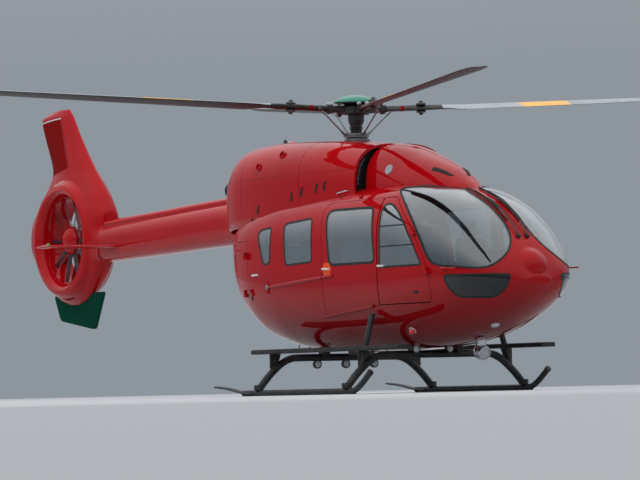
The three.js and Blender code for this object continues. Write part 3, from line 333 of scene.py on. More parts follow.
@dataclass(frozen=True)
class Upholstery(Finish):
    """Woven wool-mix seat cloth: soft sheen, thread crossings and darker hollows."""

    dark: str = "#141517"

    def dress_shader(self, tree: Tree, shader: Node, place: Socket) -> None:
        """Adds a weave with threads 4 mm apart, twice the real 2 mm so that it shows, and a mottle."""
        threads = [
            add(tree, "TexWave", {"Vector": place, "Scale": 40.0, "Distortion": 1.5, "Detail": 1.0},
                bands_direction=direction)
            for direction in ("X", "Y")
        ]
        weave = add(tree, "Math", {0: threads[0].outputs["Fac"], 1: threads[1].outputs["Fac"]},
                    operation="MULTIPLY")
        mottle = add(tree, "TexNoise", {"Vector": place, "Scale": 14.0, "Detail": 4.0})
        amount = add(tree, "MapRange", {"Value": weave.outputs[0], 3: 0.0, 4: 0.3})
        amount = add(tree, "Math", {0: amount.outputs[0], 1: mottle.outputs[0]}, operation="ADD",
                     use_clamp=True)
        self.blend(tree, shader, amount, self.dark, self.colour)
        self.bumped(tree, shader, weave.outputs[0], 0.001, 0.3)
        shader.inputs["Sheen Weight"].default_value = 0.3


@dataclass(frozen=True)
class MouldedPlastic(Finish):
    """Moulded ABS or rubber with a fine leather-like grain."""

    grain: float = 0.001

    def dress_shader(self, tree: Tree, shader: Node, place: Socket) -> None:
        """Adds a cell grain drawn at 5 mm and a faint mottle in the roughness."""
        cells = add(tree, "TexVoronoi", {"Vector": place, "Scale": 200.0})
        self.bumped(tree, shader, cells.outputs[0], self.grain, 0.3)
        super().dress_shader(tree, shader, place)


@dataclass(frozen=True)
class Lamp(Finish):
    """A lamp's lens or a glossy cover: polycarbonate with a faint prism pattern, lit inside if it glows."""

    glow: float = 0.0

    def dress_shader(self, tree: Tree, shader: Node, place: Socket) -> None:
        """Adds prisms 8 mm apart, a hard gloss and the light's own glow."""
        prisms = add(tree, "TexWave", {"Vector": place, "Scale": 20.0}, bands_direction="DIAGONAL")
        self.bumped(tree, shader, prisms.outputs["Fac"], 0.001, 0.3)
        shader.inputs["Coat Weight"].default_value = 1.0
        shader.inputs["Emission Color"].default_value = linear(self.colour)
        shader.inputs["Emission Strength"].default_value = self.glow


# Sprayed gloss: a deep, clean red, darkened by painted shade from 1.5 m down to the belly
RED = GlossPaint("red_gloss_paint", "#a8060f", 0.35, shade="#2c0508", shade_top=1.5, shade_weight=1.4, patchy=0.08)
# Sprayed paint with hardly any clear coat left, so it looks matt and faded
FIN_RED = GlossPaint("fin_flap_red_paint", "#7f1210", 0.5, shade="#64100e", coat=0.1)
FIN_GREEN = GlossPaint("dark_green_paint", "#0b4635", 0.45, shade="#083427", shade_top=0.1, coat=0.1)
# Gloss on small parts, without painted shade: their colour takes a blend towards the shade colour that is
# even above 0.45 m
DOME_TEAL = GlossPaint("teal_dome_paint", "#4a9183", 0.25, shade="#377163", shade_top=0.1)
VANE_PINK = GlossPaint("stator_vane_paint", "#9a2a34", 0.35, shade="#6f1c26", shade_top=0.1)
ORANGE = GlossPaint("orange_handle_paint", "#ff5a14", 0.35, shade="#c8430c", shade_top=0.1)
WHITE = GlossPaint("white_trim_paint", "#dfe1e1", 0.3, shade="#b9bcbc", shade_top=0.1)
# Coated tube, blades and castings: nearly matt, rubbed lighter by boots, hands and grit
BLACK = WornPaint("black_powder_coat", "#101113", 0.5)
STEP_BLACK = WornPaint("step_black_coat", "#141517", 0.6, worn="#55565a", amount=0.4)
HUB_BLACK = WornPaint("hub_black_coat", "#191616", 0.4, worn="#463f3f", amount=0.3)
FAN_DARK = WornPaint("fan_blade_dark_coat", "#3a1d22", 0.4, worn="#5c3a42", amount=0.3)
DAMPER = WornPaint("damper_cap_coat", "#3b3837", 0.4, worn="#7a7674", amount=0.4)
GREY_CAST = WornPaint("grey_cast_housing", "#55585c", 0.5, worn="#7d8084")
# A near-black sheet for hollows that light hardly reaches: painted shade
PAINTED_SHADE = WornPaint("painted_shade_opening", "#0a0a0b", 0.7, worn="#1c1c1e", amount=0.2)
# Bare metal: turned steel is greyer, polished aluminium brighter, and heat has browned the exhausts
STEEL = BrushedMetal("machined_steel", "#8c8e91", 0.35)
BRIGHT = BrushedMetal("polished_aluminium", "#c9cbce", 0.2)
EXHAUST = BrushedMetal("heat_stained_steel", "#1f1b1a", 0.5)
# Blade skins: light grey above, a dark painted shade below where the undersides face away from the sky, with
# a sun-bleached yellow band
BLADE_GREY = BladeSkin("grey_blade_paint", "#a3a8ad", 0.45)
BLADE_SHADE = BladeSkin("blade_underside_shade", "#2a2425", 0.5, streak="#453c3c")
BLADE_YELLOW = BladeSkin("yellow_blade_band", "#f0b75a", 0.45, streak="#d09a44")
# Window sheet: the windshields mirror less of the sky than the side windows, the smoked sheet hides the floor
GLASS = ClearAcrylic("clear_acrylic", "#f4f8fa", 0.02)
SHIELD_GLASS = ClearAcrylic("windshield_acrylic", "#f4f8fa", 0.02, facing_gloss=0.14)
DARK_GLASS = ClearAcrylic("smoked_acrylic", "#f4f8fa", 0.02, tint="#2b2e31", facing_gloss=0.05)
# Rubber and moulded plastic: dull, with a grain that breaks up the highlights
SEAL = MouldedPlastic("black_rubber_seal", "#0e0f10", 0.55)
LINING = MouldedPlastic("grey_cabin_lining", "#42464a", 0.7)
FLOORING = MouldedPlastic("dark_cabin_floor", "#2e3134", 0.75)
COAMING = MouldedPlastic("black_panel_plastic", "#16171a", 0.65)
# Hard, smooth covers and lenses with one sharp highlight; the lamps glow faintly
CAP_GREY = Lamp("grey_filler_cap", "#7f8589", 0.25)
SCREEN = Lamp("dark_screen_glass", "#0a1016", 0.12)
LENS = Lamp("clear_lamp_lens", "#a9b1b6", 0.1, glow=0.05)
BEACON = Lamp("red_beacon_lens", "#b30f18", 0.1, glow=0.1)
GREEN_LENS = Lamp("green_lamp_lens", "#0f9a45", 0.1, glow=0.3)
# Woven cloth: soft, without highlights
CLOTH = Upholstery("grey_seat_cloth", "#62676d", 0.9, dark="#3c4045")


# Solids


@dataclass
class Solid:
    """A closed mesh: points in millimetres and triangles that face outwards."""

    points: Array
    faces: Array

    @staticmethod
    def of(points: Array, faces: Array) -> "Solid":
        """Merges doubled points, drops empty faces and turns the mesh to face outwards.

        Args:
            points: Points, one per row.
            faces: Triangles or quads.

        Returns:
            The solid.
        """
        if faces.shape[1] == 4:
            faces = np.concatenate([faces[:, [0, 1, 2]], faces[:, [0, 2, 3]]])
        _, first, index = np.unique(np.round(points, 3), axis=0, return_index=True, return_inverse=True)
        faces = index.reshape(-1)[faces]
        kept = (faces[:, 0] != faces[:, 1]) & (faces[:, 1] != faces[:, 2]) & (faces[:, 2] != faces[:, 0])
        solid = Solid(points[first], faces[kept])
        corners = solid.points[solid.faces]
        volume = np.einsum("ij,ij->", corners[:, 0], np.cross(corners[:, 1], corners[:, 2]))
        if volume < 0:
            solid.faces = solid.faces[:, ::-1]
        return solid

    def object(self, name: str) -> bpy.types.Object:
        """Returns a new scene object with this mesh."""
        mesh = bpy.data.meshes.new(name)
        mesh.from_pydata(self.points.tolist(), [], self.faces.tolist())
        made = bpy.data.objects.new(name, mesh)
        bpy.context.scene.collection.objects.link(made)
        return made

    def combined(self, other: "Solid", operation: Operation) -> "Solid":
        """Returns this solid joined with, cut by or kept inside the other one."""
        pair = [self.object("first"), other.object("second")]
        modifier = pair[0].modifiers.new("combine", "BOOLEAN")
        modifier.solver = "MANIFOLD"
        modifier.operation = operation.value
        modifier.object = pair[1]
        evaluated = pair[0].evaluated_get(bpy.context.evaluated_depsgraph_get())
        mesh = evaluated.to_mesh()
        mesh.calc_loop_triangles()
        points = np.empty(len(mesh.vertices) * 3, np.float32)
        mesh.vertices.foreach_get("co", points)
        faces = np.empty(len(mesh.loop_triangles) * 3, np.int32)
        mesh.loop_triangles.foreach_get("vertices", faces)
        result = Solid(points.reshape(-1, 3).astype(float), faces.reshape(-1, 3))
        evaluated.to_mesh_clear()
        for made in pair:
            used = made.data
            bpy.data.objects.remove(made)
            bpy.data.meshes.remove(used)
        return result

    def __add__(self, other: "Solid") -> "Solid":
        """Joins two solids."""
        return self.combined(other, Operation.JOIN)

    def __sub__(self, other: "Solid") -> "Solid":
        """Cuts the other solid away."""
        return self.combined(other, Operation.CUT)

    def __and__(self, other: "Solid") -> "Solid":
        """Keeps what lies inside both."""
        return self.combined(other, Operation.KEEP)

    def mirrored(self) -> "Solid":
        """Returns the mirror image on the other side of the aircraft."""
        return Solid(self.points * np.array([1.0, -1.0, 1.0]), self.faces[:, ::-1])

    def moved(self, turn: Array, offset: Array) -> "Solid":
        """Returns the solid turned by a 3x3 matrix and then moved."""
        return Solid(self.points @ turn.T + offset, self.faces)


def gathered(*solids: Solid) -> Solid:
    """Puts closed meshes into one without working out where they cross."""
    starts = np.cumsum([0] + [len(s.points) for s in solids[:-1]])
    faces = np.concatenate([s.faces + start for s, start in zip(solids, starts)])
    return Solid(np.concatenate([s.points for s in solids]), faces)


def both_sides(solid: Solid) -> Solid:
    """Returns a solid together with its mirror image."""
    return gathered(solid, solid.mirrored())


def lofted(rings: Array, closed: bool = False) -> Solid:
    """A solid through rings: face k of ring i spans its points k and k+1 and the same two of ring i+1.

    Args:
        rings: Array of rings by points by 3.
        closed: Whether the last ring joins the first one; otherwise both ends get a flat cap.

    Returns:
        The solid.
    """
    count, size = rings.shape[:2]
    here = np.arange(count if closed else count - 1)[:, None] * size + np.arange(size)[None, :]
    there = (here + size) % (count * size) if closed else here + size
    turned_here = here - np.arange(size) + (np.arange(size) + 1) % size
    turned_there = there - np.arange(size) + (np.arange(size) + 1) % size
    faces = np.stack([here, turned_here, turned_there, there], axis=-1).reshape(-1, 4)
    points = rings.reshape(-1, 3)
    if closed:
        return Solid.of(points, faces)
    middles = np.stack([rings[0].mean(axis=0), rings[-1].mean(axis=0)])
    around = np.arange(size)
    after = (around + 1) % size
    last = (count - 1) * size
    first_cap = np.stack([after, around, np.full(size, len(points)), np.full(size, len(points))], axis=-1)
    last_cap = np.stack([last + around, last + after, np.full(size, len(points) + 1),
                         np.full(size, len(points) + 1)], axis=-1)
    return Solid.of(np.concatenate([points, middles]), np.concatenate([faces, first_cap, last_cap]))


def unit(vectors: Array) -> Array:
    """Returns vectors at length one."""
    return vectors / np.maximum(np.linalg.norm(vectors, axis=-1, keepdims=True), 1e-9)


def smooth_path(points: list[tuple[float, ...]] | Array, count: int) -> Array:
    """A curve through points, in cubics; a point's slope is the weighted mean of the chords beside it."""
    knots = np.asarray(points, float)
    lengths = np.concatenate([[0], np.cumsum(np.linalg.norm(np.diff(knots, axis=0), axis=1))])
    slopes = np.gradient(knots, lengths, axis=0)
    at = np.linspace(0, lengths[-1], count)
    i = np.clip(np.searchsorted(lengths, at, side="right") - 1, 0, len(knots) - 2)
    span = (lengths[i + 1] - lengths[i])[:, None]
    t = (at[:, None] - lengths[i][:, None]) / span
    return ((2 * t**3 - 3 * t**2 + 1) * knots[i] + (t**3 - 2 * t**2 + t) * slopes[i] * span
            + (3 * t**2 - 2 * t**3) * knots[i + 1] + (t**3 - t**2) * slopes[i + 1] * span)


def swept(path: Array | list[Point], section: Array, up: Array) -> Solid:
    """Carries a closed section along a path.

    A section point (a, b) lies a along the sideways direction, which is the path's direction crossed with up,
    and b along the upward one.

    Args:
        path: Points by 3.
        section: Points by 2, or path points by section points by 2.
        up: One direction, or one for each path point.

    Returns:
        The solid, with flat ends.
    """
    path = np.asarray(path, float)
    along = unit(np.gradient(path, axis=0))
    sideways = unit(np.cross(along, np.broadcast_to(up, path.shape)))
    upward = np.cross(sideways, along)
    shape = np.broadcast_to(section, (len(path), *section.shape[-2:]))
    rings = path[:, None] + shape[..., :1] * sideways[:, None] + shape[..., 1:] * upward[:, None]
    return lofted(rings)


def circle(radius: float | Array, sides: int = 16) -> Array:
    """A round section; an array of radii gives one circle for each."""
    angle = 2 * np.pi * np.arange(sides) / sides
    unit_circle = np.stack([np.cos(angle), np.sin(angle)], axis=-1)
    if np.ndim(radius) == 0:
        return radius * unit_circle
    return np.asarray(radius, float)[..., None, None] * unit_circle


def rounded_section(width: float, height: float, power: float = 4.0, sides: int = 24) -> Array:
    """A box with rounded corners: a superellipse, where |a/half width|^power + |b/half height|^power is 1."""
    angle = 2 * np.pi * (np.arange(sides) + 0.5) / sides
    c, s = np.cos(angle), np.sin(angle)
    reach = (np.abs(c) ** power + np.abs(s) ** power) ** (-1 / power)
    return np.stack([reach * c * width / 2, reach * s * height / 2], axis=-1)


def tube(points: list[tuple[float, ...]] | Array, radius: float, up: Array = X_AXIS, count: int = 24,
         sides: int = 14) -> Solid:
    """A round bar along a smooth path."""
    return swept(smooth_path(points, count), circle(radius, sides), up)


def rod(start: Array | Point, end: Array | Point, radius: float, sides: int = 16) -> Solid:
    """A straight round bar with softened ends."""
    start, end = np.asarray(start, float), np.asarray(end, float)
    along = unit(end - start)
    soft = min(0.2 * radius, 3.0)
    path = np.stack([start, start + soft * along, end - soft * along, end])
    up = X_AXIS if abs(along[0]) < 0.8 else Z_AXIS
    return swept(path, circle(np.array([radius - soft, radius, radius, radius - soft]), sides), up)


def turned(profile: Outline, centre: Array | Point, axis: Array | Point = Z_AXIS, sides: int = 48) -> Solid:
    """A shape turned about an axis: a profile point (r, h) makes a ring of radius r at height h along it.

    A profile that starts and ends off the axis is closed on itself, as a hoop is.
    """
    rows = np.asarray(profile, float)
    hoop = rows[0][0] > 0.01
    angle = 2 * np.pi * np.arange(sides) / sides
    axis = unit(np.asarray(axis, float))
    across = unit(np.cross(axis, X_AXIS if abs(axis[0]) < 0.8 else Y_AXIS))
    other = np.cross(axis, across)
    spokes = np.cos(angle)[:, None] * across + np.sin(angle)[:, None] * other
    rings = np.asarray(centre) + rows[:, None, :1] * spokes[None] + rows[:, None, 1:] * axis
    return lofted(rings, closed=hoop)


def prism(outline: Outline | Array, a_axis: Array, b_axis: Array, depth_axis: Array, near: float,
          far: float) -> Solid:
    """A straight prism over an outline of (a, b) points, from near to far along the depth axis."""
    flat = np.asarray(outline, float)
    base = flat[:, :1] * a_axis + flat[:, 1:] * b_axis
    count = len(flat)
    points = np.concatenate([base + near * depth_axis, base + far * depth_axis])
    cap = np.array(tessellate_polygon([[Vector((a, b, 0)) for a, b in flat.tolist()]]))
    corners = flat[cap]
    first, second = corners[:, 1] - corners[:, 0], corners[:, 2] - corners[:, 0]
    backwards = first[:, 0] * second[:, 1] - first[:, 1] * second[:, 0] < 0
    cap[backwards] = cap[backwards][:, ::-1]
    turn = np.sum(flat[:, 0] * np.roll(flat[:, 1], -1) - flat[:, 1] * np.roll(flat[:, 0], -1))
    here = np.arange(count)
    after = (here + 1) % count
    if turn < 0:
        here, after = after, here
    walls = np.concatenate([np.stack([here, after, after + count], -1),
                            np.stack([here, after + count, here + count], -1)])
    return Solid.of(points, np.concatenate([cap[:, ::-1], cap + count, walls]))


def side_prism(outline: Outline | Array, near: float = -OUTSIDE, far: float = -420.0) -> Solid:
    """A prism across the aircraft over an outline seen from its side, as (x, z)."""
    return prism(outline, X_AXIS, Z_AXIS, Y_AXIS, near, far)


def block(low: tuple[float, float, float], high: tuple[float, float, float]) -> Solid:
    """A box between two corners, for cutting with."""
    outline = [(low[0], low[2]), (high[0], low[2]), (high[0], high[2]), (low[0], high[2])]
    return side_prism(outline, low[1], high[1])


def grown(outline: Outline | Array, distance: float) -> Array:
    """Moves every edge of a closed outline outwards, or inwards if the distance is negative."""
    flat = np.asarray(outline, float)
    area = np.sum(flat[:, 0] * np.roll(flat[:, 1], -1) - flat[:, 1] * np.roll(flat[:, 0], -1))
    edge = unit(np.roll(flat, -1, axis=0) - flat)
    normal = np.sign(area) * np.stack([edge[:, 1], -edge[:, 0]], axis=-1)
    before = np.roll(normal, 1, axis=0)
    scale = distance / (1 + np.sum(normal * before, axis=1))
    return flat + scale[:, None] * (normal + before)


def softened(outline: Outline, radius: float, steps: int = 6) -> Array:
    """Rounds each corner with a parabola that starts radius away, or 0.45 of the edge if that is less."""
    flat = np.asarray(outline, float)
    to_before = np.roll(flat, 1, axis=0) - flat
    to_after = np.roll(flat, -1, axis=0) - flat
    reach = [np.minimum(radius, 0.45 * np.linalg.norm(v, axis=1))[:, None] for v in (to_before, to_after)]
    start = flat + unit(to_before) * reach[0]
    end = flat + unit(to_after) * reach[1]
    t = np.linspace(0, 1, steps)[None, :, None]
    curve = (1 - t) ** 2 * start[:, None] + 2 * t * (1 - t) * flat[:, None] + t**2 * end[:, None]
    return curve.reshape(-1, 2)


def spaced(marks: list[tuple[float, float]]) -> Array:
    """Stations from the first mark to the last, where each mark is (place, spacing wanted there)."""
    places, spacing = np.array(marks, float).T
    fine = np.linspace(places[0], places[-1], 4000)
    density = 1 / np.interp(fine, places, spacing)
    total = np.concatenate([[0], np.cumsum((density[1:] + density[:-1]) / 2 * np.diff(fine))])
    return np.interp(np.linspace(0, total[-1], int(total[-1]) + 1), total, fine)


def hermite_rows(table: Array, at: Array) -> Array:
    """Rows of a table at any place, on cubics; a row's slope is the harmonic mean of the slopes beside it."""
    keys = table[:, 0]
    at = np.clip(at, keys[0], keys[-1])
    slope = np.diff(table, axis=0) / np.diff(keys)[:, None]
    before = np.concatenate([slope[:1], slope])
    after = np.concatenate([slope, slope[-1:]])
    product = before * after
    total = before + after
    mean = np.where(product > 0, 2 * product / np.where(np.abs(total) > 1e-12, total, 1), 0)
    i = np.clip(np.searchsorted(keys, at, side="right") - 1, 0, len(keys) - 2)
    span = (keys[i + 1] - keys[i])[:, None]
    t = (at - keys[i])[:, None] / span
    return ((2 * t**3 - 3 * t**2 + 1) * table[i] + (t**3 - 2 * t**2 + t) * mean[i] * span
            + (3 * t**2 - 2 * t**3) * table[i + 1] + (t**3 - t**2) * mean[i + 1] * span)


@dataclass(frozen=True)
class Hull:
    """A body lofted through sections across the aircraft, each made of two superellipse halves.

    Each row is x, top z, bottom z, half width, z of the widest line, and the powers of both halves.
    """

    table: tuple[tuple[float, ...], ...]
    marks: tuple[tuple[float, float], ...]
    around: int = 160
    nose_dome: float = 0.0
    tail_dome: float = 0.0

    def rows(self, x: Array) -> Array:
        """Rows of the table at any x."""
        return hermite_rows(np.array(self.table, float), np.asarray(x, float))

    def sections(self, x: Array, inset: float, around: int) -> Array:
        """Rings of evenly spaced points: |y/half|^power + |(z - wide)/height|^power is 1 on each half."""
        _, top, bottom, half, wide, upper, lower = (column[:, None] for column in self.rows(x).T)
        quarter = 0.25 * np.pi * (1 - np.cos(np.pi * np.linspace(0, 1, 160)))
        angle = np.concatenate([np.pi / 2 + quarter, np.pi + quarter[1:]])
        c, s = np.abs(np.cos(angle)), np.sin(angle)
        power = np.where(s >= 0, 2 / upper, 2 / lower)
        height = np.maximum(np.where(s >= 0, top - inset - wide, wide - bottom - inset), 5)
        y = -np.maximum(half - inset, 5) * c**power
        z = wide + np.sign(s) * height * np.abs(s) ** power
        length = np.cumsum(np.hypot(np.diff(y, axis=1), np.diff(z, axis=1)), axis=1)
        length = np.concatenate([np.zeros((len(y), 1)), length], axis=1) / length[:, -1:]
        want = np.linspace(0, 1, around // 2 + 1)
        y = np.stack([np.interp(want, row, values) for row, values in zip(length, y)])
        z = np.stack([np.interp(want, row, values) for row, values in zip(length, z)])
        y = np.concatenate([y, -y[:, -2:0:-1]], axis=1)
        z = np.concatenate([z, z[:, -2:0:-1]], axis=1)
        return np.stack([np.broadcast_to(np.asarray(x, float)[:, None], y.shape), y, z], axis=-1)

    def solid(self, inset: float = 0.0, coarse: float = 1.0, shorten: bool = True) -> Solid:
        """The whole body.

        Args:
            inset: How far the surface lies inside the body's own.
            coarse: Above 1, the surface has fewer points.
            shorten: Whether both ends are drawn in by the inset too.

        Returns:
            The solid, with a dome at each end that has one.
        """
        stations = spaced([(place, spacing * coarse) for place, spacing in self.marks])
        around = 2 * round(self.around / coarse / 2)
        rings = self.sections(stations, inset, around)
        share = (stations - stations[0]) / (stations[-1] - stations[0])
        if shorten:
            rings[:, :, 0] += (inset * (1 - 2 * share))[:, None]
        parts = [rings]
        turn = np.linspace(0, np.pi / 2, 7)[1:]
        for dome, end, sign in ((self.tail_dome, 0, -1), (self.nose_dome, -1, 1)):
            if dome <= 0:
                continue
            ring = rings[end]
            middle = ring.mean(axis=0)
            shrunk = middle + (ring - middle)[None] * np.maximum(np.cos(turn), 0.001)[:, None, None]
            shrunk[:, :, 0] = ring[0, 0] + (sign * dome * np.sin(turn))[:, None]
            parts = [shrunk[::-1], *parts] if sign < 0 else [*parts, shrunk]
        return lofted(np.concatenate(parts))

    def level(self, points: Array) -> Array:
        """How far out points lie: 1 on the surface, less inside."""
        _, top, bottom, half, wide, upper, lower = self.rows(points[:, 0]).T
        above = points[:, 2] >= wide
        power = np.where(above, upper, lower)
        height = np.where(above, top - wide, wide - bottom)
        rise = np.abs(points[:, 2] - wide) / height
        return (np.abs(points[:, 1]) / half) ** power + rise**power

    def normals(self, points: Array) -> Array:
        """The direction in which the level grows fastest at each point."""
        steps = np.eye(3) * 1.0
        slopes = [self.level(points + step) - self.level(points - step) for step in steps]
        return unit(np.stack(slopes, axis=-1))

    def half_width(self, x: Array, z: Array) -> Array:
        """The surface's distance from the centre plane at x and z."""
        _, top, bottom, half, wide, upper, lower = self.rows(np.atleast_1d(x)).T
        above = z >= wide
        power = np.where(above, upper, lower)
        rise = np.clip(np.abs(z - wide) / np.where(above, top - wide, wide - bottom), 0, 1)
        return half * (1 - rise**power) ** (1 / power)

    def on_right(self, outline: Outline | Array, proud: Array | float = 0.0) -> tuple[Array, Array]:
        """Points on the right side of the skin at (x, z), moved out along its normal, and the normals."""
        flat = np.asarray(outline, float)
        points = np.stack([flat[:, 0], -self.half_width(flat[:, 0], flat[:, 1]), flat[:, 1]], axis=-1)
        normals = self.normals(points)
        return points + np.reshape(proud, (-1, 1)) * normals, normals

    def handle(self, start: tuple[float, float], end: tuple[float, float], proud: float,
               section: Array) -> Solid:
        """A grab bar on the right side between two (x, z) points: its ends go into the skin."""
        share = np.linspace(0, 1, 33)
        flat = np.array(start) + share[:, None] * (np.array(end) - np.array(start))
        path, normals = self.on_right(flat, proud - (proud + 12) * np.abs(2 * share - 1) ** 10)
        return swept(path, section, normals)

    def plate(self, outlines: Sequence[Outline | Array], proud: float, sunk: float = 2.0) -> Solid:
        """Thin plates on the right side of the skin over outlines of (x, z)."""
        skin = self.solid(-proud) - self.solid(sunk)
        return skin & gathered(*(side_prism(outline) for outline in outlines))

    def boss(self, place: tuple[float, float], profile: Outline, sides: int = 40) -> Solid:
        """A shape turned about the skin's normal at a point (x, z) of the right side."""
        points, normals = self.on_right([place])
        return turned(profile, points[0], normals[0], sides)

    def on_top(self, outline: Outline | Array, proud: float = 0.0) -> tuple[Array, Array]:
        """Points on the top of the skin at (x, y), moved out along its normal, and the normals."""
        flat = np.asarray(outline, float)
        _, top, _, half, wide, upper, _ = self.rows(flat[:, 0]).T
        z = wide + (top - wide) * (1 - np.clip(np.abs(flat[:, 1]) / half, 0, 1) ** upper) ** (1 / upper)
        points = np.stack([flat[:, 0], flat[:, 1], z], axis=-1)
        normals = self.normals(points)
        return points + proud * normals, normals

    def on_belly(self, x: float, y: float) -> tuple[Array, Array]:
        """The point on the underside of the skin at x and y, and its normal."""
        _, _, bottom, half, wide, _, lower = self.rows(np.array([x]))[0]
        depth = (wide - bottom) * (1 - min(abs(y) / half, 1) ** lower) ** (1 / lower)
        place = np.array([x, y, wide - depth])
        return place, self.normals(place[None])[0]


@dataclass
class Coat:
    """A finish and which of a piece's faces wear it: middles and normals go in, and a mask comes out."""

    finish: Finish
    where: Callable[[Array, Array], Array]


def dress(name: str, solid: Solid, finish: Finish, nodes: tuple[str, ...] = (),
          hull: Hull | None = None, coats: tuple[Coat, ...] = (), angle: float = 35.0,
          body: Body = Body.AIRFRAME) -> bpy.types.Object:
    """Makes a finished piece of the helicopter.

    Args:
        name: The piece's name.
        solid: Its shape, in millimetres from the mast.
        finish: What it is made of.
        nodes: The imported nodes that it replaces.
        hull: The smooth form whose exact normals its outer faces take.
        coats: Other finishes on some of its faces.
        angle: Edges sharper than this many degrees stay sharp.
        body: The moving body that it rides on.

    Returns:
        The new object.
    """
    placed = Solid((solid.points + np.array([MAST_X, 0, 0])) * MM, solid.faces)
    made = placed.object(name)
    mesh = made.data
    mesh.materials.append(finish.material())
    corners = solid.points[solid.faces]
    middles = corners.mean(axis=1)
    normals = unit(np.cross(corners[:, 1] - corners[:, 0], corners[:, 2] - corners[:, 0]))
    chosen = np.zeros(len(solid.faces), np.int32)
    for i, coat in enumerate(coats):
        mesh.materials.append(coat.finish.material())
        chosen[coat.where(middles, normals)] = i + 1
    mesh.polygons.foreach_set("material_index", chosen)
    mesh.shade_smooth()
    mesh.set_sharp_from_angle(angle=math.radians(angle))
    if hull is not None:
        shaded = np.empty(len(mesh.loops) * 3, np.float32)
        mesh.corner_normals.foreach_get("vector", shaded)
        shaded = shaded.reshape(-1, 3)
        exact = hull.normals(solid.points)[solid.faces]
        outer = np.einsum("ij,ij->i", exact.mean(axis=1), normals) > 0.97
        shaded.reshape(-1, 3, 3)[outer] = exact[outer]
        mesh.normals_split_custom_set(shaded.tolist())
    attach(made, body.value)
    if nodes:
        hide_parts(*nodes)
    LOG.info("%s: %d triangles", name, len(solid.faces))
    return made


def dress_pair(name: str, right: Solid, finish: Finish, node: str = "", hull: Hull | None = None,
               coats: tuple[Coat, ...] = (), bodies: tuple[Body, Body] = STILL) -> None:
    """Makes a piece on the right side and its mirror image on the left.

    Args:
        name: The pair's name, to which _right and _left are added.
        right: The right one's shape.
        finish: What both are made of.
        node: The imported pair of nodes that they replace, without _right and _left.
        hull: The smooth form whose exact normals the outer faces take.
        coats: Other finishes on some of the faces.
        bodies: The moving bodies of the right one and of the left one.
    """
    for side, solid, body in (("right", right, bodies[0]), ("left", right.mirrored(), bodies[1])):
        nodes = (f"{node}_{side}",) if node else ()
        dress(f"{name}_{side}", solid, finish, nodes, hull, coats, body=body)


def lined(hull: Hull) -> tuple[Coat, ...]:
    """The grey cabin lining on the faces that look inwards."""
    def inwards(middles: Array, normals: Array) -> Array:
        """Whether each face looks against the hull's own normal."""
        return np.einsum("ij,ij->i", hull.normals(middles), normals) < -0.5

    return (Coat(LINING, inwards),)


# Cabin


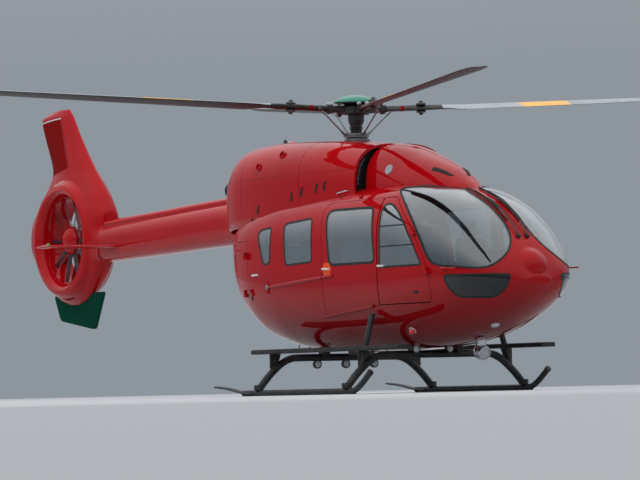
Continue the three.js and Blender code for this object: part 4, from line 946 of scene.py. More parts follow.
@dataclass
class Cabin:
    """The pod: floor tub, roof, side walls, nose, doors and windows, cut from one smooth shell."""

    wall: float = 40.0
    glass: float = 8.0
    seal_proud: float = 2.5
    seal_depth: float = 9.0
    vent_bars: tuple[float, ...] = (1663.0, 1895.0)
    door_gap: float = 3.0
    floor_z: float = 840.0
    split_x: float = -1253.0
    nose_x: float = 1714.0
    door_top: float = 2225.0
    rear_door_top: float = 1858.0
    rear_door_foot: float = 903.0
    rear_hinge_y: float = -842.0
    rear_hinge_heights: tuple[float, ...] = (1230.0, 1680.0)
    front_hinges: tuple[Point, ...] = ((2412.0, -849.0, 1800.0), (2682.0, -858.0, 1357.0))
    pin_radius: float = 14.0
    pin_span: tuple[float, float] = (0.15, 45.0)
    quarter_angle: float = 32.0
    quarter_depth: tuple[float, float] = (1330.0, 4500.0)
    bulge_centre: Point = (3550.0, 0.0, 1422.0)
    bulge_axis: Point = (0.904, 0.0, 0.426)
    bulge_radius: float = 180.0
    bulge_height: float = 56.0
    hull: Hull = Hull(
        table=(
            (-2280, 2020, 1680, 120, 1860, 2.2, 2.2), (-2190, 2120, 1400, 360, 1820, 2.4, 2.3),
            (-1980, 2190, 1080, 565, 1740, 2.8, 2.4), (-1600, 2260, 800, 725, 1640, 3.2, 2.5),
            (-1100, 2320, 630, 820, 1540, 3.6, 2.7), (-500, 2360, 530, 860, 1480, 3.9, 2.8),
            (300, 2390, 490, 867, 1440, 4.0, 2.9), (1200, 2400, 490, 867, 1420, 4.0, 2.8),
            (1800, 2390, 510, 865, 1400, 3.8, 2.7), (2300, 2320, 560, 850, 1380, 3.4, 2.5),
            (2750, 2170, 650, 810, 1350, 3.0, 2.3), (3100, 1960, 770, 740, 1310, 2.7, 2.15),
            (3400, 1680, 920, 610, 1270, 2.5, 2.05), (3580, 1450, 1050, 420, 1240, 2.2, 2.0),
            (3660, 1280, 1140, 180, 1210, 2.0, 2.0)),
        marks=((-2280, 5), (-2150, 14), (-1600, 30), (1500, 32), (3000, 24), (3500, 10), (3660, 3)),
        around=180, nose_dome=14.0, tail_dome=20.0)
    front_door: Outline = (
        (1714, 1003), (1714, 2225), (1950, 2225), (2085, 2110), (2245, 1975), (2385, 1843), (2520, 1650),
        (2625, 1479), (2690, 1340), (2705, 1180), (2690, 1070), (2640, 1003))
    front_window: Outline = (
        (1765, 1430), (1757, 2080), (1800, 2150), (1915, 2148), (2070, 2060), (2200, 1940), (2410, 1685),
        (2576, 1429))
    sliding_door: Outline = ((540, 901), (540, 1500), (510, 2080), (525, 2155), (570, 2205), (640, 2225),
                             (1708, 2225), (1708, 1001))
    sliding_window: Outline = (
        (690, 1550), (612, 2060), (650, 2115), (720, 2135), (1530, 2125), (1588, 2090), (1660, 1540),
        (1630, 1490), (735, 1495))
    rear_window: Outline = ((-290, 1575), (-325, 1990), (-285, 2025), (265, 2060), (300, 2030), (322, 1580),
                            (290, 1548), (-255, 1530))
    small_window: Outline = (
        (-830, 1600), (-965, 1915), (-905, 1975), (-650, 1995), (-622, 1965), (-645, 1595), (-690, 1560),
        (-790, 1560))
    windshield: Outline = (
        (445, 2330), (790, 2345), (1150, 2322), (1220, 2260), (1440, 2085), (1600, 1875), (1655, 1720),
        (1640, 1590), (1570, 1486), (1424, 1380), (1257, 1358), (835, 1410), (735, 1475), (608, 1843),
        (515, 2110))
    chin_window: Outline = (
        (880, 1300), (1640, 1285), (1570, 1117), (1450, 1030), (1064, 1045), (960, 1135))
    sill: Outline = (
        (-2600, 900), (540, 900), (1708, 1000), (2700, 1000), (2850, 920), (3900, 920))

    def quarter(self, outline: Array) -> Solid:
        """A prism over an outline seen from the quarter angle off the nose, as (across, z)."""
        turn = math.radians(self.quarter_angle)
        across = np.array([math.sin(turn), math.cos(turn), 0])
        depth = np.array([math.cos(turn), -math.sin(turn), 0])
        return prism(outline, across, Z_AXIS, depth, *self.quarter_depth)

    def build(self) -> None:
        """Cuts the shell into its panels and panes, and dresses them."""
        hull = self.hull
        outer = hull.solid()
        inner = hull.solid(self.wall, coarse=1.5)
        self.shell = outer - inner
        outlines = {
            "front_door": softened(self.front_door, 45),
            "sliding_door": softened(self.sliding_door, 40),
            "front_window": softened(self.front_window, 60),
            "sliding_window": softened(self.sliding_window, 60),
            "rear_window": softened(self.rear_window, 60),
            "small_window": softened(self.small_window, 60),
            "windshield": softened(self.windshield, 90),
            "chin_window": softened(self.chin_window, 70),
        }
        low, high = self.rear_door_foot, self.rear_door_top
        rear = [(-2600, low), (self.split_x, low), (self.split_x, high), (-2600, high)]
        front_cut = both_sides(side_prism(grown(outlines["front_door"], self.door_gap)))
        rear_cut = side_prism(grown(rear, self.door_gap), -OUTSIDE, OUTSIDE)
        windshield_cut = both_sides(self.quarter(outlines["windshield"]))
        chin_cut = both_sides(self.quarter(outlines["chin_window"]))
        self.build_tub(outer, inner)
        self.build_roof(rear_cut, front_cut, windshield_cut)
        self.build_walls(outlines)
        self.build_nose(front_cut, windshield_cut, chin_cut)
        self.build_doors(outer, outlines, rear)
        self.build_glass(outer, outlines)

    def build_tub(self, outer: Solid, inner: Solid) -> None:
        """The underfloor tub, with the cabin floor on top."""
        tub = [*self.sill, (3900, 300), (-2600, 300)]
        air = inner - block((-3000, -2000, 0), (4000, 2000, self.floor_z))
        plate = prism(softened([(-130, -110), (130, -110), (130, 110), (-130, 110)], 16), X_AXIS, Y_AXIS,
                      Z_AXIS, 460, 560)
        solid = (outer & side_prism(tub, -OUTSIDE, OUTSIDE)) - air
        floor = Coat(FLOORING, lambda middles, normals: (
            np.abs(middles[:, 2] - self.floor_z) < 2) & (normals[:, 2] > 0.9))
        nodes = ("underfloor_tub", "door_sill_right", "door_sill_left")
        dress("floor_tub", solid, RED, nodes, self.hull, (*lined(self.hull), floor))
        dress("cargo_hook_plate", plate, GREY_CAST)

    def build_roof(self, rear_cut: Solid, front_cut: Solid, windshield_cut: Solid) -> None:
        """The roof over the doors, with the upper part of the tail end."""
        top, split = self.rear_door_top + SEAT_GAP, self.split_x
        roof = [(-2600, top), (split, top), (split, self.door_top + SEAT_GAP),
                (self.nose_x - SEAT_GAP, self.door_top + SEAT_GAP), (self.nose_x - SEAT_GAP, 2600),
                (-2600, 2600)]
        solid = (self.shell & side_prism(roof, -OUTSIDE, OUTSIDE)) - rear_cut - front_cut - windshield_cut
        post_shell = self.hull.solid(46, coarse=1.5) - self.hull.solid(86, coarse=1.5)
        posts = post_shell & both_sides(block((1650, -1300, self.floor_z + SEAT_GAP), (1750, -300, 2600)))
        dress("roof_skin", solid, RED, ("cabin_roof",), self.hull, lined(self.hull))
        dress("door_posts", posts, LINING)

    def build_walls(self, outlines: dict[str, Array]) -> None:
        """The fixed side walls behind the sliding doors."""
        start = self.split_x + self.door_gap
        wall = [(start, 900 + SEAT_GAP), (540, 900 + SEAT_GAP), (540, 1500), (700, 2000),
                (700, self.door_top), (start, self.door_top)]
        solid = self.shell & side_prism(wall, -OUTSIDE, -300)
        solid = solid - side_prism(grown(outlines["sliding_door"], 4))
        solid = solid - side_prism(outlines["rear_window"]) - side_prism(outlines["small_window"])
        knuckles = [self.knuckle(z, False) for z in self.rear_hinge_heights]
        dress_pair("side_wall", gathered(solid, *knuckles), RED, "aft_side_wall", self.hull,
                   lined(self.hull))

    def knuckle(self, z: float, door: bool) -> Solid:
        """One half of a rear door hinge: a barrel on the axis with a leaf that goes into its panel."""
        low, high = self.half_pin(door)
        centre = np.array([self.split_x, self.rear_hinge_y, z])
        reach = -30.0 if door else 30.0
        near, far = self.split_x + 5 * np.sign(reach), self.split_x + reach
        leaf = prism(softened([(near, -848), (far, -840), (far, -800), (near, -800)], 12), X_AXIS, Y_AXIS,
                     Z_AXIS, z + low, z + high)
        return gathered(rod(centre + Z_AXIS * low, centre + Z_AXIS * high, self.pin_radius), leaf)

    def half_pin(self, door: bool) -> tuple[float, float]:
        """Where a half of a hinge starts and ends along its axis: the door's is above, the frame's below."""
        near, far = self.pin_span
        return (near, far) if door else (-far, -near)

    def build_nose(self, front_cut: Solid, windshield_cut: Solid, chin_cut: Solid) -> None:
        """The nose with its windshield posts."""
        nose = [(self.nose_x, 1000 + SEAT_GAP), (2700, 1000 + SEAT_GAP), (2850, 920 + SEAT_GAP),
                (3900, 920 + SEAT_GAP), (3900, 2600), (self.nose_x, 2600)]
        solid = (self.shell & side_prism(nose, -OUTSIDE, OUTSIDE)) - front_cut - windshield_cut - chin_cut
        halves = [self.nose_knuckle(i, False) for i in (0, 1)]
        hinges = [both_sides(half) for half in halves]
        dress("nose_skin", gathered(solid, *hinges), RED, ("nose",), self.hull,
              lined(self.hull))
        dress("nose_bulge", self.bulge() - windshield_cut, RED, angle=60)

    def bulge(self) -> Solid:
        """A swelling on the tip: at r from its axis it stands height (1 - (r / radius)^2.6)^1.6 off the skin.

        The skin is found along the axis by halving a span that starts inside the hull and ends outside it.
        """
        out = unit(np.array(self.bulge_axis))
        other = np.cross(out, Y_AXIS)
        reach = np.linspace(self.bulge_radius, 0.5, 26)[:, None]
        angle = (2 * np.pi * np.arange(72) / 72)[None]
        base = (np.array(self.bulge_centre) + (reach * np.cos(angle))[..., None] * Y_AXIS
                + (reach * np.sin(angle))[..., None] * other)
        low, high = np.full(base[..., 0].size, -250.0), np.full(base[..., 0].size, 350.0)
        for _ in range(24):
            middle = (low + high) / 2
            place = base.reshape(-1, 3) + middle[:, None] * out
            inside = (self.hull.level(place) < 1) & (place[:, 0] < self.hull.table[-1][0])
            low, high = np.where(inside, middle, low), np.where(inside, high, middle)
        skin = base + low.reshape(*base.shape[:2], 1) * out
        rise = self.bulge_height * (1 - (reach / self.bulge_radius) ** 2.6) ** 1.6
        outer = skin + (rise + 0.5)[..., None] * out
        return lofted(np.concatenate([(skin - 12 * out)[::-1], outer]))

    def nose_knuckle(self, index: int, door: bool) -> Solid:
        """One half of a front door hinge, on the slanted axis through both hinges."""
        hinges = np.array(self.front_hinges)
        axis = unit(hinges[0] - hinges[1])
        low, high = self.half_pin(door)
        back = unit(-np.cross(Y_AXIS, axis)) * (1 if door else -1)
        inboard = unit(np.cross(unit(-np.cross(Y_AXIS, axis)), axis))
        centre = hinges[index]
        leaf = prism([(5, -6), (30, -6), (30, 55), (5, 55)], back, inboard, axis, low, high)
        pin = rod(centre + axis * low, centre + axis * high, self.pin_radius)
        return gathered(pin, leaf.moved(np.eye(3), centre))

    def build_doors(self, outer: Solid, outlines: dict[str, Array], rear: Outline) -> None:
        """The front, sliding and rear doors.

        A front door is a thin skin that reaches past a thicker frame, with room to swing at rear and foot.
        """
        lip = (outer - self.hull.solid(12)) & side_prism(grown(outlines["front_door"], -5))
        front = lip + (self.shell & side_prism(grown(outlines["front_door"], -27)))
        front = front - side_prism([(1700, 990), (1721, 990), (1728, 2240), (1700, 2240)])
        front = front - side_prism([(1700, 990), (2700, 990), (2700, 1013), (1700, 1009)])
        front = gathered(front - side_prism(outlines["front_window"]),
                         *(self.nose_knuckle(i, True) for i in (0, 1)))
        dress_pair("front_door_skin", front, RED, "front_door", self.hull, lined(self.hull),
                   FRONT_DOORS)
        sliding = self.shell & side_prism(grown(outlines["sliding_door"], -4))
        sliding = sliding - side_prism(outlines["sliding_window"])
        dress_pair("sliding_door_skin", sliding, RED, "sliding_door", self.hull, lined(self.hull))
        panel = self.shell & side_prism(grown(rear, -self.door_gap), -OUTSIDE, -self.door_gap)
        panel = gathered(panel, *(self.knuckle(z, True) for z in self.rear_hinge_heights))
        dress_pair("rear_door_skin", panel, RED, "rear_door", self.hull, lined(self.hull),
                   REAR_DOORS)

    def build_glass(self, outer: Solid, outlines: dict[str, Array]) -> None:
        """The panes and the black rubber seals round them."""
        panes = outer - self.hull.solid(self.glass)
        seals = self.hull.solid(-self.seal_proud) - self.hull.solid(self.seal_depth)
        plan = (
            ("windshield", "windshield", self.quarter, STILL, 12.0, 10.0),
            ("chin_window", "chin_window", self.quarter, STILL, 8.0, 6.0),
            ("front_door_window", "front_window", side_prism, FRONT_DOORS, 10.0, 12.0),
            ("sliding_door_window", "sliding_window", side_prism, STILL, 12.0, 16.0),
            ("rear_window", "rear_window", side_prism, STILL, 10.0, 12.0),
            ("small_rear_window", "small_window", side_prism, STILL, 10.0, 12.0),
        )
        for node, key, cutter, bodies, outside, inside in plan:
            outline = outlines[key]
            pane = panes & cutter(grown(outline, -SEAT_GAP))
            sheet = {"chin_window": DARK_GLASS, "windshield": SHIELD_GLASS}.get(key, GLASS)
            dress_pair(f"{node}_pane", pane, sheet, node, self.hull, bodies=bodies)
            seal = (seals & cutter(grown(outline, outside))) - cutter(grown(outline, -inside))
            dress_pair(f"{node}_seal", seal, SEAL, "", self.hull, bodies=bodies)
        strips = [side_prism([(1740, z - 7), (2500, z - 7), (2500, z + 7), (1740, z + 7)])
                  for z in self.vent_bars]
        window = side_prism(outlines["front_window"])
        bars = gathered(*(seals & strip & window for strip in strips))
        dress_pair("vent_window_bars", bars, SEAL, "", self.hull, bodies=FRONT_DOORS)
        for made in bpy.data.objects:
            if "_pane_" in made.name:
                made.visible_shadow = False


# Cowlings, boom and tail


@dataclass
class Cowls:
    """The engine and gearbox cowlings on the roof, with the parts under them."""

    wall: float = 30.0
    seams: tuple[float, ...] = (-1560.0, -160.0)
    seam_z: float = 2596.0
    seam_depth: float = 5.0
    mast_hole: float = 165.3
    exhaust_y: float = 330.0
    exhaust_z: float = 2530.0
    exhaust_radius: float = 105.0
    vents: tuple[Point, ...] = ((-629.0, -642.0, 2857.0), (-1112.0, -686.0, 2741.0))
    vent_out: Point = (0.0, -0.93, 0.37)
    louvres: Outline = ((-311, 2342), (-92, 2389), (220, 2419), (382, 2434), (-1099, 2231), (-1274, 2090))
    tie_down: Outline = ((646, 2325), (841, 2352))
    beacon: Point = (-1450.0, 0.0, 3040.0)
    filler: tuple[float, float] = (1363, 2571)
    engine_hull: Hull = Hull(
        table=(
            (-2280, 2620, 1960, 420, 2350, 2.4, 6), (-2180, 2840, 1960, 520, 2350, 2.7, 6),
            (-2000, 2980, 1960, 600, 2350, 2.9, 6), (-1700, 3040, 1960, 670, 2350, 3.1, 6),
            (-1200, 3050, 1960, 720, 2350, 3.3, 6), (-600, 3030, 1960, 740, 2350, 3.4, 6),
            (0, 3000, 1960, 730, 2350, 3.4, 6), (500, 2955, 1960, 700, 2350, 3.2, 6),
            (950, 2905, 1960, 660, 2350, 3.0, 6)),
        marks=((-2280, 5), (-2150, 14), (-1700, 28), (500, 32), (950, 16)), around=150, tail_dome=24.0)
    forward_hull: Hull = Hull(
        table=(
            (950, 2905, 1950, 500, 2350, 2.6, 6), (1150, 2870, 1950, 495, 2330, 2.5, 6),
            (1600, 2730, 1950, 470, 2280, 2.3, 6), (2020, 2560, 1950, 400, 2230, 2.1, 6),
            (2300, 2390, 1950, 270, 2180, 2.0, 6), (2440, 2280, 1950, 110, 2150, 2.0, 6)),
        marks=((950, 16), (1500, 28), (2200, 16), (2440, 6)), around=120, nose_dome=10.0)

    def cowl(self, hull: Hull, open_front: bool) -> Solid:
        """The shell of one cowling: its body less the same body drawn in by the wall's thickness."""
        outer = hull.solid(0, shorten=False)
        table = tuple((*row[:2], row[2] - 200, *row[3:]) for row in hull.table)
        low, high = hull.marks[0][0], hull.marks[-1][0]
        inner = Hull(table, hull.marks, hull.around).solid(self.wall, coarse=1.5, shorten=False)
        shift = self.wall if open_front else -10.0
        scale = (high - low - self.wall + 10) / (high - low)
        inner.points[:, 0] = low + shift + (inner.points[:, 0] - low) * scale
        return outer - inner

    def grooves(self, hull: Hull, slabs: list[Solid]) -> list[Solid]:
        """What is cut from a cowling along its panel lines."""
        skin = hull.solid(-self.seam_depth, shorten=False) - hull.solid(self.seam_depth, shorten=False)
        return [skin & slab for slab in slabs]

    def build(self, cabin: Cabin) -> None:
        """Builds both cowlings and what shows through their openings."""
        clearance = cabin.hull.solid(-SEAT_GAP, coarse=1.2)
        forward = self.cowl(self.forward_hull, False) - block((900, -900, 1800), (954, 900, 3100)) - clearance
        dress("forward_cowl_skin", forward, RED, ("forward_cowl",), self.forward_hull)
        engine = self.cowl(self.engine_hull, True) - clearance
        for side in (-1, 1):
            start = np.array([-2100, side * self.exhaust_y, self.exhaust_z])
            engine = engine - rod(start, start - X_AXIS * 300, self.exhaust_radius + 10, 32)
        engine = engine - rod((0, 0, 2850.0), (0, 0, 3100.0), self.mast_hole, 40)
        slabs = [block((x, -900, 2200), (x + 8, 900, 3100)) for x in self.seams]
        slabs += [block((-2240, y, self.seam_z), (900, y + 500, self.seam_z + 7)) for y in (-900, 400)]
        for groove in self.grooves(self.engine_hull, slabs):
            engine = engine - groove
        boom = Boom().hull.solid(-SEAT_GAP, coarse=2.0, shorten=False)
        self.build_vents()
        self.build_fittings()
        self.build_intakes(clearance)
        dress("engine_cowl_skin", engine - boom, RED, ("engine_cowl",), self.engine_hull)
        pipe = turned([(0, 600), (self.exhaust_radius, 600), (self.exhaust_radius, 8),
                       (self.exhaust_radius - 4, 0), (self.exhaust_radius - 8, 0),
                       (self.exhaust_radius - 12, 8), (self.exhaust_radius - 12, 560), (0, 560)],
                      (-2370, -self.exhaust_y, self.exhaust_z), X_AXIS)
        dress_pair("exhaust_pipe", pipe, EXHAUST, "exhaust")

    def build_vents(self) -> None:
        """The round vents and the louvres of the engine cowling, with near-black discs and plates painted in
        for the shade inside them.
        """
        ring = [(37, -25), (50, -25), (50, 20), (47, 26), (41, 26), (37, 20)]
        hole = [(0, -22), (37, -22), (37, -2), (0, -2)]
        out = np.array(self.vent_out)
        places = [np.array(place) for place in self.vents]
        dress_pair("cowl_vent", gathered(*(turned(ring, place, out) for place in places)), RED)
        # Painted shade: a near-black disc inside each vent ring for the dark within
        dress_pair("cowl_vent_hole_shade", gathered(*(turned(hole, place, out) for place in places)), PAINTED_SHADE)
        slots, frames = [], []
        for x, z in self.louvres:
            outline = [(x - 34, z - 52), (x + 6, z - 56), (x + 34, z + 52), (x - 6, z + 56)]
            slots.append(softened(outline, 10))
            frames.append(softened(grown(outline, 9).tolist(), 14))
        dress_pair("louvre_frames", self.engine_hull.plate(frames, 3.0), RED, "", self.engine_hull)
        # Painted shade: near-black plates, standing just proud of the skin, for the dark inside the louvre
        # slots
        dress_pair("louvre_slot_shade", self.engine_hull.plate(slots, 4.5), PAINTED_SHADE, "",
                   self.engine_hull)

    def build_fittings(self) -> None:
        """The tie-down loops, the beacon, the antenna, near-black patches painted on the forward cowling for
        the shade in its scoops, and the filler caps.
        """
        loop = self.engine_hull.handle(*self.tie_down, 40, circle(8, 12))
        dress_pair("tie_down_loop", loop, BRIGHT)
        beacon = turned([(0, -30), (66, -30), (66, 2), (60, 8), (56, 28), (36, 44), (18, 50), (0, 52)],
                        np.array(self.beacon), Z_AXIS, 48)
        dress("cowl_beacon", beacon, BEACON)
        antenna = prism(softened([(-1650, 3030), (-1560, 3030), (-1590, 3110), (-1650, 3118)], 12), X_AXIS,
                        Z_AXIS, Y_AXIS, -5, 5)
        dress("cowl_antenna", antenna, BLACK)
        # Painted shade: a near-black patch on the cowl skin for the dark inside each scoop
        scoop = prism(softened([(1955, -255), (2170, -150), (2190, -95), (1930, -195)], 18), X_AXIS, Y_AXIS,
                      Z_AXIS, 2300, 2800)
        scoop_shade_patch = (self.forward_hull.solid(-4) - self.forward_hull.solid(3)) & scoop
        dress_pair("forward_scoop_shade", scoop_shade_patch, PAINTED_SHADE)
        cap = self.forward_hull.boss(self.filler, [(0, -10), (62, -10), (62, 4), (58, 7), (0, 8)])
        dress_pair("filler_cap", cap, CAP_GREY)

    def build_intakes(self, clearance: Solid) -> None:
        """The walls and the ribs behind the air intakes on both sides of the forward cowling; the walls are
        near black, painted shade for the dark inside.
        """
        wall = self.engine_hull.solid(33, shorten=False) & block((850, -900, 2200), (862, 900, 3100))
        wall = wall - self.forward_hull.solid(-4, shorten=False) - clearance
        rib, post = rounded_section(90, 9, 5.0, 12), smooth_path([(900, 2420), (905, 2600), (900, 2790)], 16)
        lines = [smooth_path([(890, z), (930, z)], 4) for z in (2500, 2590, 2680)]
        ribs = [swept(self.engine_hull.on_right(line, -70)[0], rib, Z_AXIS) for line in lines]
        posts = [tube(self.engine_hull.on_right(post, depth)[0], 11) for depth in (-55, -95)]
        # Painted shade: the wall behind the intake is near black
        dress("intake_wall", wall, PAINTED_SHADE)
        dress_pair("intake_ribs", gathered(*ribs, *posts), GREY_CAST)


@dataclass
class Boom:
    """The tail boom, its drive shaft cover and the stabiliser."""

    hull: Hull = Hull(
        table=(
            (-6050, 2280, 1800, 195, 2040, 2.6, 2.6), (-4500, 2345, 1835, 215, 2085, 2.6, 2.6),
            (-2900, 2410, 1870, 240, 2135, 2.6, 2.6), (-1900, 2440, 1860, 300, 2135, 2.6, 2.6)),
        marks=((-6050, 60), (-1900, 60)), around=96)
    cover_ends: tuple[float, float] = (-6030.0, -2290.0)
    cover_size: tuple[float, float] = (250.0, 142.0)
    stabiliser: Point = (-5680.0, 1210.0, 1985.0)
    chords: tuple[float, float] = (450.0, 400.0)
    thicknesses: tuple[float, float] = (58.0, 50.0)

    def build(self, cabin: Cabin) -> None:
        """Builds the boom, the cover on top of it and the stabiliser."""
        boom = self.hull.solid(0, shorten=False) - cabin.hull.solid(-SEAT_GAP, coarse=2.0)
        dress("boom_skin", boom, RED, ("tail_boom",), self.hull)
        x = np.linspace(*self.cover_ends, 60)
        path, normals = self.hull.on_top(np.stack([x, 0 * x], axis=-1), 2.0)
        cover = swept(path, rounded_section(*self.cover_size, 2.7, 64), normals)
        dress("shaft_cover", cover, RED)
        self.build_stabiliser()

    def build_stabiliser(self) -> None:
        """The stabiliser: a wing section whose chord and thickness shrink towards rounded tips."""
        place, reach, height = self.stabiliser
        y = reach * np.sin(np.linspace(-np.pi / 2, np.pi / 2, 81))
        share = np.abs(y) / reach
        tip = np.sqrt(np.clip(1 - np.clip((np.abs(y) - reach + 60) / 60, 0, 1) ** 2, 0.02, 1))
        chord = (self.chords[0] + (self.chords[1] - self.chords[0]) * share) * (0.8 + 0.2 * tip)
        thickness = (self.thicknesses[0] + (self.thicknesses[1] - self.thicknesses[0]) * share) * tip
        section = wing_section(chord, thickness, 32)
        path = np.stack([np.full_like(y, place), y, np.full_like(y, height)], axis=-1)
        rings = path[:, None] + section[..., :1] * X_AXIS + section[..., 1:] * Z_AXIS
        dress("stabiliser_skin", lofted(rings), RED, ("stabiliser",))
        for side, finish, name in ((-1, GREEN_LENS, "right"), (1, BEACON, "left")):
            centre = np.array([-5610.0, side * 1180.0, 2006.0])
            lens = turned([(0, -20), (18, -14), (22, 0), (16, 14), (0, 20)], centre, X_AXIS, 24)
            dress(f"position_light_{name}", lens, finish)


def wing_section(chord: Array | float, thickness: Array | float, count: int) -> Array:
    """Blade sections, centred where they are thickest: x is 0.5 cos(t) - 0.15 of the chord, and the height is
    |sin(t)|^0.9 of half the thickness, thinned by 45 % towards the trailing edge.

    Args:
        chord: One chord for each section, or a single one.
        thickness: One thickness for each, or a single one.
        count: Points round a section.

    Returns:
        Sections by points by 2, or points by 2.
    """
    angle = 2 * np.pi * np.arange(count) / count
    along, rise = np.cos(angle), np.sin(angle)
    full = np.abs(rise) ** 0.9 * (1 - 0.45 * np.maximum(0, -along)) * np.sign(rise)
    chord, thickness = np.asarray(chord, float)[..., None], np.asarray(thickness, float)[..., None]
    return np.stack([chord * (0.5 * along - 0.15), thickness / 2 * full], axis=-1)


@dataclass
class TailUnit:
    """The shrouded tail fan with the fin above it and the bumper fin below it."""

    centre: tuple[float, float] = (-7070.0, 2130.0)
    duct: float = 585.0
    lip: float = 690.0
    half_depth: float = 245.0
    least_rim: float = 802.0
    boom_end: float = 1019.5
    inner_rim: float = 597.0
    fan_blades: int = 10
    vanes: int = 11
    table: tuple[tuple[float, ...], ...] = (
        (1262, -6900, -7230, 60), (1330, -6690, -7450, 190), (1520, -6430, -7740, 330),
        (1800, -6200, -7960, 430), (2130, -6040, -8110, 470), (2400, -6040, -8060, 450),
        (2640, -6130, -7900, 400), (2850, -6280, -7740, 330), (3080, -6500, -7600, 270),
        (3530, -6870, -7800, 190), (3800, -7060, -7895, 150), (3900, -7150, -7500, 60))
    flap: Outline = ((-7285, 3770), (-7010, 3095), (-7750, 2990), (-8000, 3730))

    def rim(self, turn: Array) -> Array:
        """How far the outer edge lies from the fan's centre, at each angle from straight ahead."""
        z = spaced([(1262, 4), (1400, 20), (3700, 20), (3900, 4)])
        rows = hermite_rows(np.array(self.table, float), z)
        x = np.concatenate([rows[:, 1], rows[::-1, 2]]) - self.centre[0]
        height = np.concatenate([z, z[::-1]]) - self.centre[1]
        angle = np.unwrap(np.arctan2(height, x))
        order = np.argsort(angle)
        angle, reach = angle[order], np.hypot(x, height)[order]
        angle = np.concatenate([angle - 2 * np.pi, angle, angle + 2 * np.pi])
        found = np.interp(turn, angle, np.tile(reach, 3))
        found = np.maximum(found, self.least_rim)
        ahead = np.abs(np.arctan2(np.sin(turn), np.cos(turn))) < 0.4
        return np.where(ahead, np.minimum(found, self.boom_end / np.maximum(np.cos(turn), 0.3)), found)

    def half_thickness(self, x: Array, z: Array, radius: Array) -> Array:
        """Half the thickness at (x, z): the largest of the fin's, shroud's and boom fairing's, blended.

        The fin's section is an ellipse higher up and a blunter superellipse round the shroud.
        """
        rows = hermite_rows(np.array(self.table, float), z.ravel())
        lead, trail, thick = (rows[:, i].reshape(z.shape) for i in (1, 2, 3))
        along = np.clip((x - (lead + trail) / 2) / ((lead - trail) / 2), -1, 1)
        c = np.sign(along) * np.abs(along) ** (1 / 0.85)
        blunt = np.clip(1.3 - np.abs(z - self.centre[1]) / 700, 0, 1)
        power = 2 + 1.6 * blunt
        thinned = 1 - 0.35 * (1 - blunt) * np.maximum(0, -c)
        fin = thick / 2 * np.clip(1 - np.abs(c) ** power, 0, 1) ** (1 / power) * thinned
        fin = np.where((z < self.table[0][0]) | (z > self.table[-1][0]), 0, fin)
        shroud = self.half_depth * np.sqrt(np.clip(1 - np.clip((radius - 700) / 105, 0, 1) ** 2, 0, 1))
        rise = np.clip(np.abs(z - 2040) / 238, 0, 1)
        fairing = np.where(x > -6400, 193 * (1 - rise**2.6) ** (1 / 2.6) * np.clip((x + 6400) / 70, 0, 1), 0)
        wide = 0.5 * (fin + shroud + np.sqrt((fin - shroud) ** 2 + 40**2)) - 8
        return np.maximum(0.5 * (wide + fairing + np.sqrt((wide - fairing) ** 2 + 30**2)) - 6, 4)

    def shell(self) -> Solid:
        """The closed skin: round the fan's axis, a profile runs over the left face, round the rim, over the
        right face, in over the rounded lip and back through the duct."""
        turn = np.linspace(-np.pi, np.pi, 2001)[:-1]
        reach = self.rim(turn)
        step = np.hypot(np.diff(reach, append=reach[:1]), reach * (turn[1] - turn[0]))
        total = np.concatenate([[0], np.cumsum(step)])
        turn = np.interp(np.linspace(0, total[-1], 541)[:-1], total, np.linspace(-np.pi, np.pi, 2001))
        reach = self.rim(turn)[:, None]
        share = np.sin(np.linspace(0, np.pi / 2, 44))[None]
        left = self.inner_rim + (reach - self.inner_rim) * share
        right = self.lip + (reach - self.lip) * share[:, ::-1][:, 1:]
        radius = np.concatenate([left, right], axis=1)
        x = self.centre[0] + radius * np.cos(turn)[:, None]
        z = self.centre[1] + radius * np.sin(turn)[:, None]
        y = self.half_thickness(x, z, radius)
        edge = np.minimum(26.0, y)
        boom_side = (np.cos(turn) > 0.9)[:, None] & (np.abs(z - 2040) < 232)
        close = np.sqrt(np.clip(1 - np.clip((radius - reach + edge) / edge, 0, 1) ** 2, 0, 1))
        y = np.where(boom_side, y, y * close)
        y[:, left.shape[1]:] *= -1
        mouth = np.linspace(0, np.pi / 2, 10)[None, 1:]
        lip_radius = self.duct + (self.lip - self.duct) * (1 - np.sin(mouth)) + 0 * reach
        lip_y = -self.half_depth + 125 * (1 - np.cos(mouth)) + 0 * reach
        wall_y = np.linspace(-110, self.half_depth - 12, 6)[None] + 0 * reach
        wall_radius = np.full_like(wall_y, self.duct)
        lip_y[:, 0] = -self.half_depth
        radius = np.concatenate([radius, lip_radius, wall_radius], axis=1)
        y = np.concatenate([y, lip_y, wall_y], axis=1)
        x = self.centre[0] + radius * np.cos(turn)[:, None]
        z = np.minimum(self.centre[1] + radius * np.sin(turn)[:, None], self.table[-1][0] - 2)
        return lofted(np.stack([x, y, z], axis=-1), closed=True)

    def build(self) -> None:
        """Builds the fin with its shroud, the flap panel and the bumper fin."""
        shell = self.shell()
        flap = softened(self.flap, 25)
        dress("fin_skin", shell - side_prism(grown(flap, 3.0), -400, 400), RED, ("tail_unit",))
        dress("flap_skin", shell & side_prism(flap, -400, 400), FIN_RED, ("fin_flap",))
        raised = np.array([1.0, 1.05, 1.0])
        for name, start, end, finish in (("flap_top_line", (-7265, 3782), (-8010, 3742), WHITE),
                                         ("flap_front_line", (-7262, 3775), (-6990, 3098), VANE_PINK)):
            across = unit(np.array([end[1] - start[1], start[0] - end[0]], float)) * 7
            strip = [np.array(start) + across, np.array(end) + across, np.array(end) - across,
                     np.array(start) - across]
            line = shell & side_prism(np.array(strip), -400, 400)
            dress(name, Solid(line.points * raised, line.faces), finish)
        bumper = softened([(-6270, 1420), (-6540, 925), (-7470, 1060), (-7640, 1400)], 60)
        plate = side_prism(bumper, -22, 22) - shell
        x, z = self.centre
        disc = rod((x, -300, z), (x, 300, z), 700, 64)
        dress("bumper_fin", plate - disc, FIN_GREEN, ("lower_fin",))
        self.build_fan()

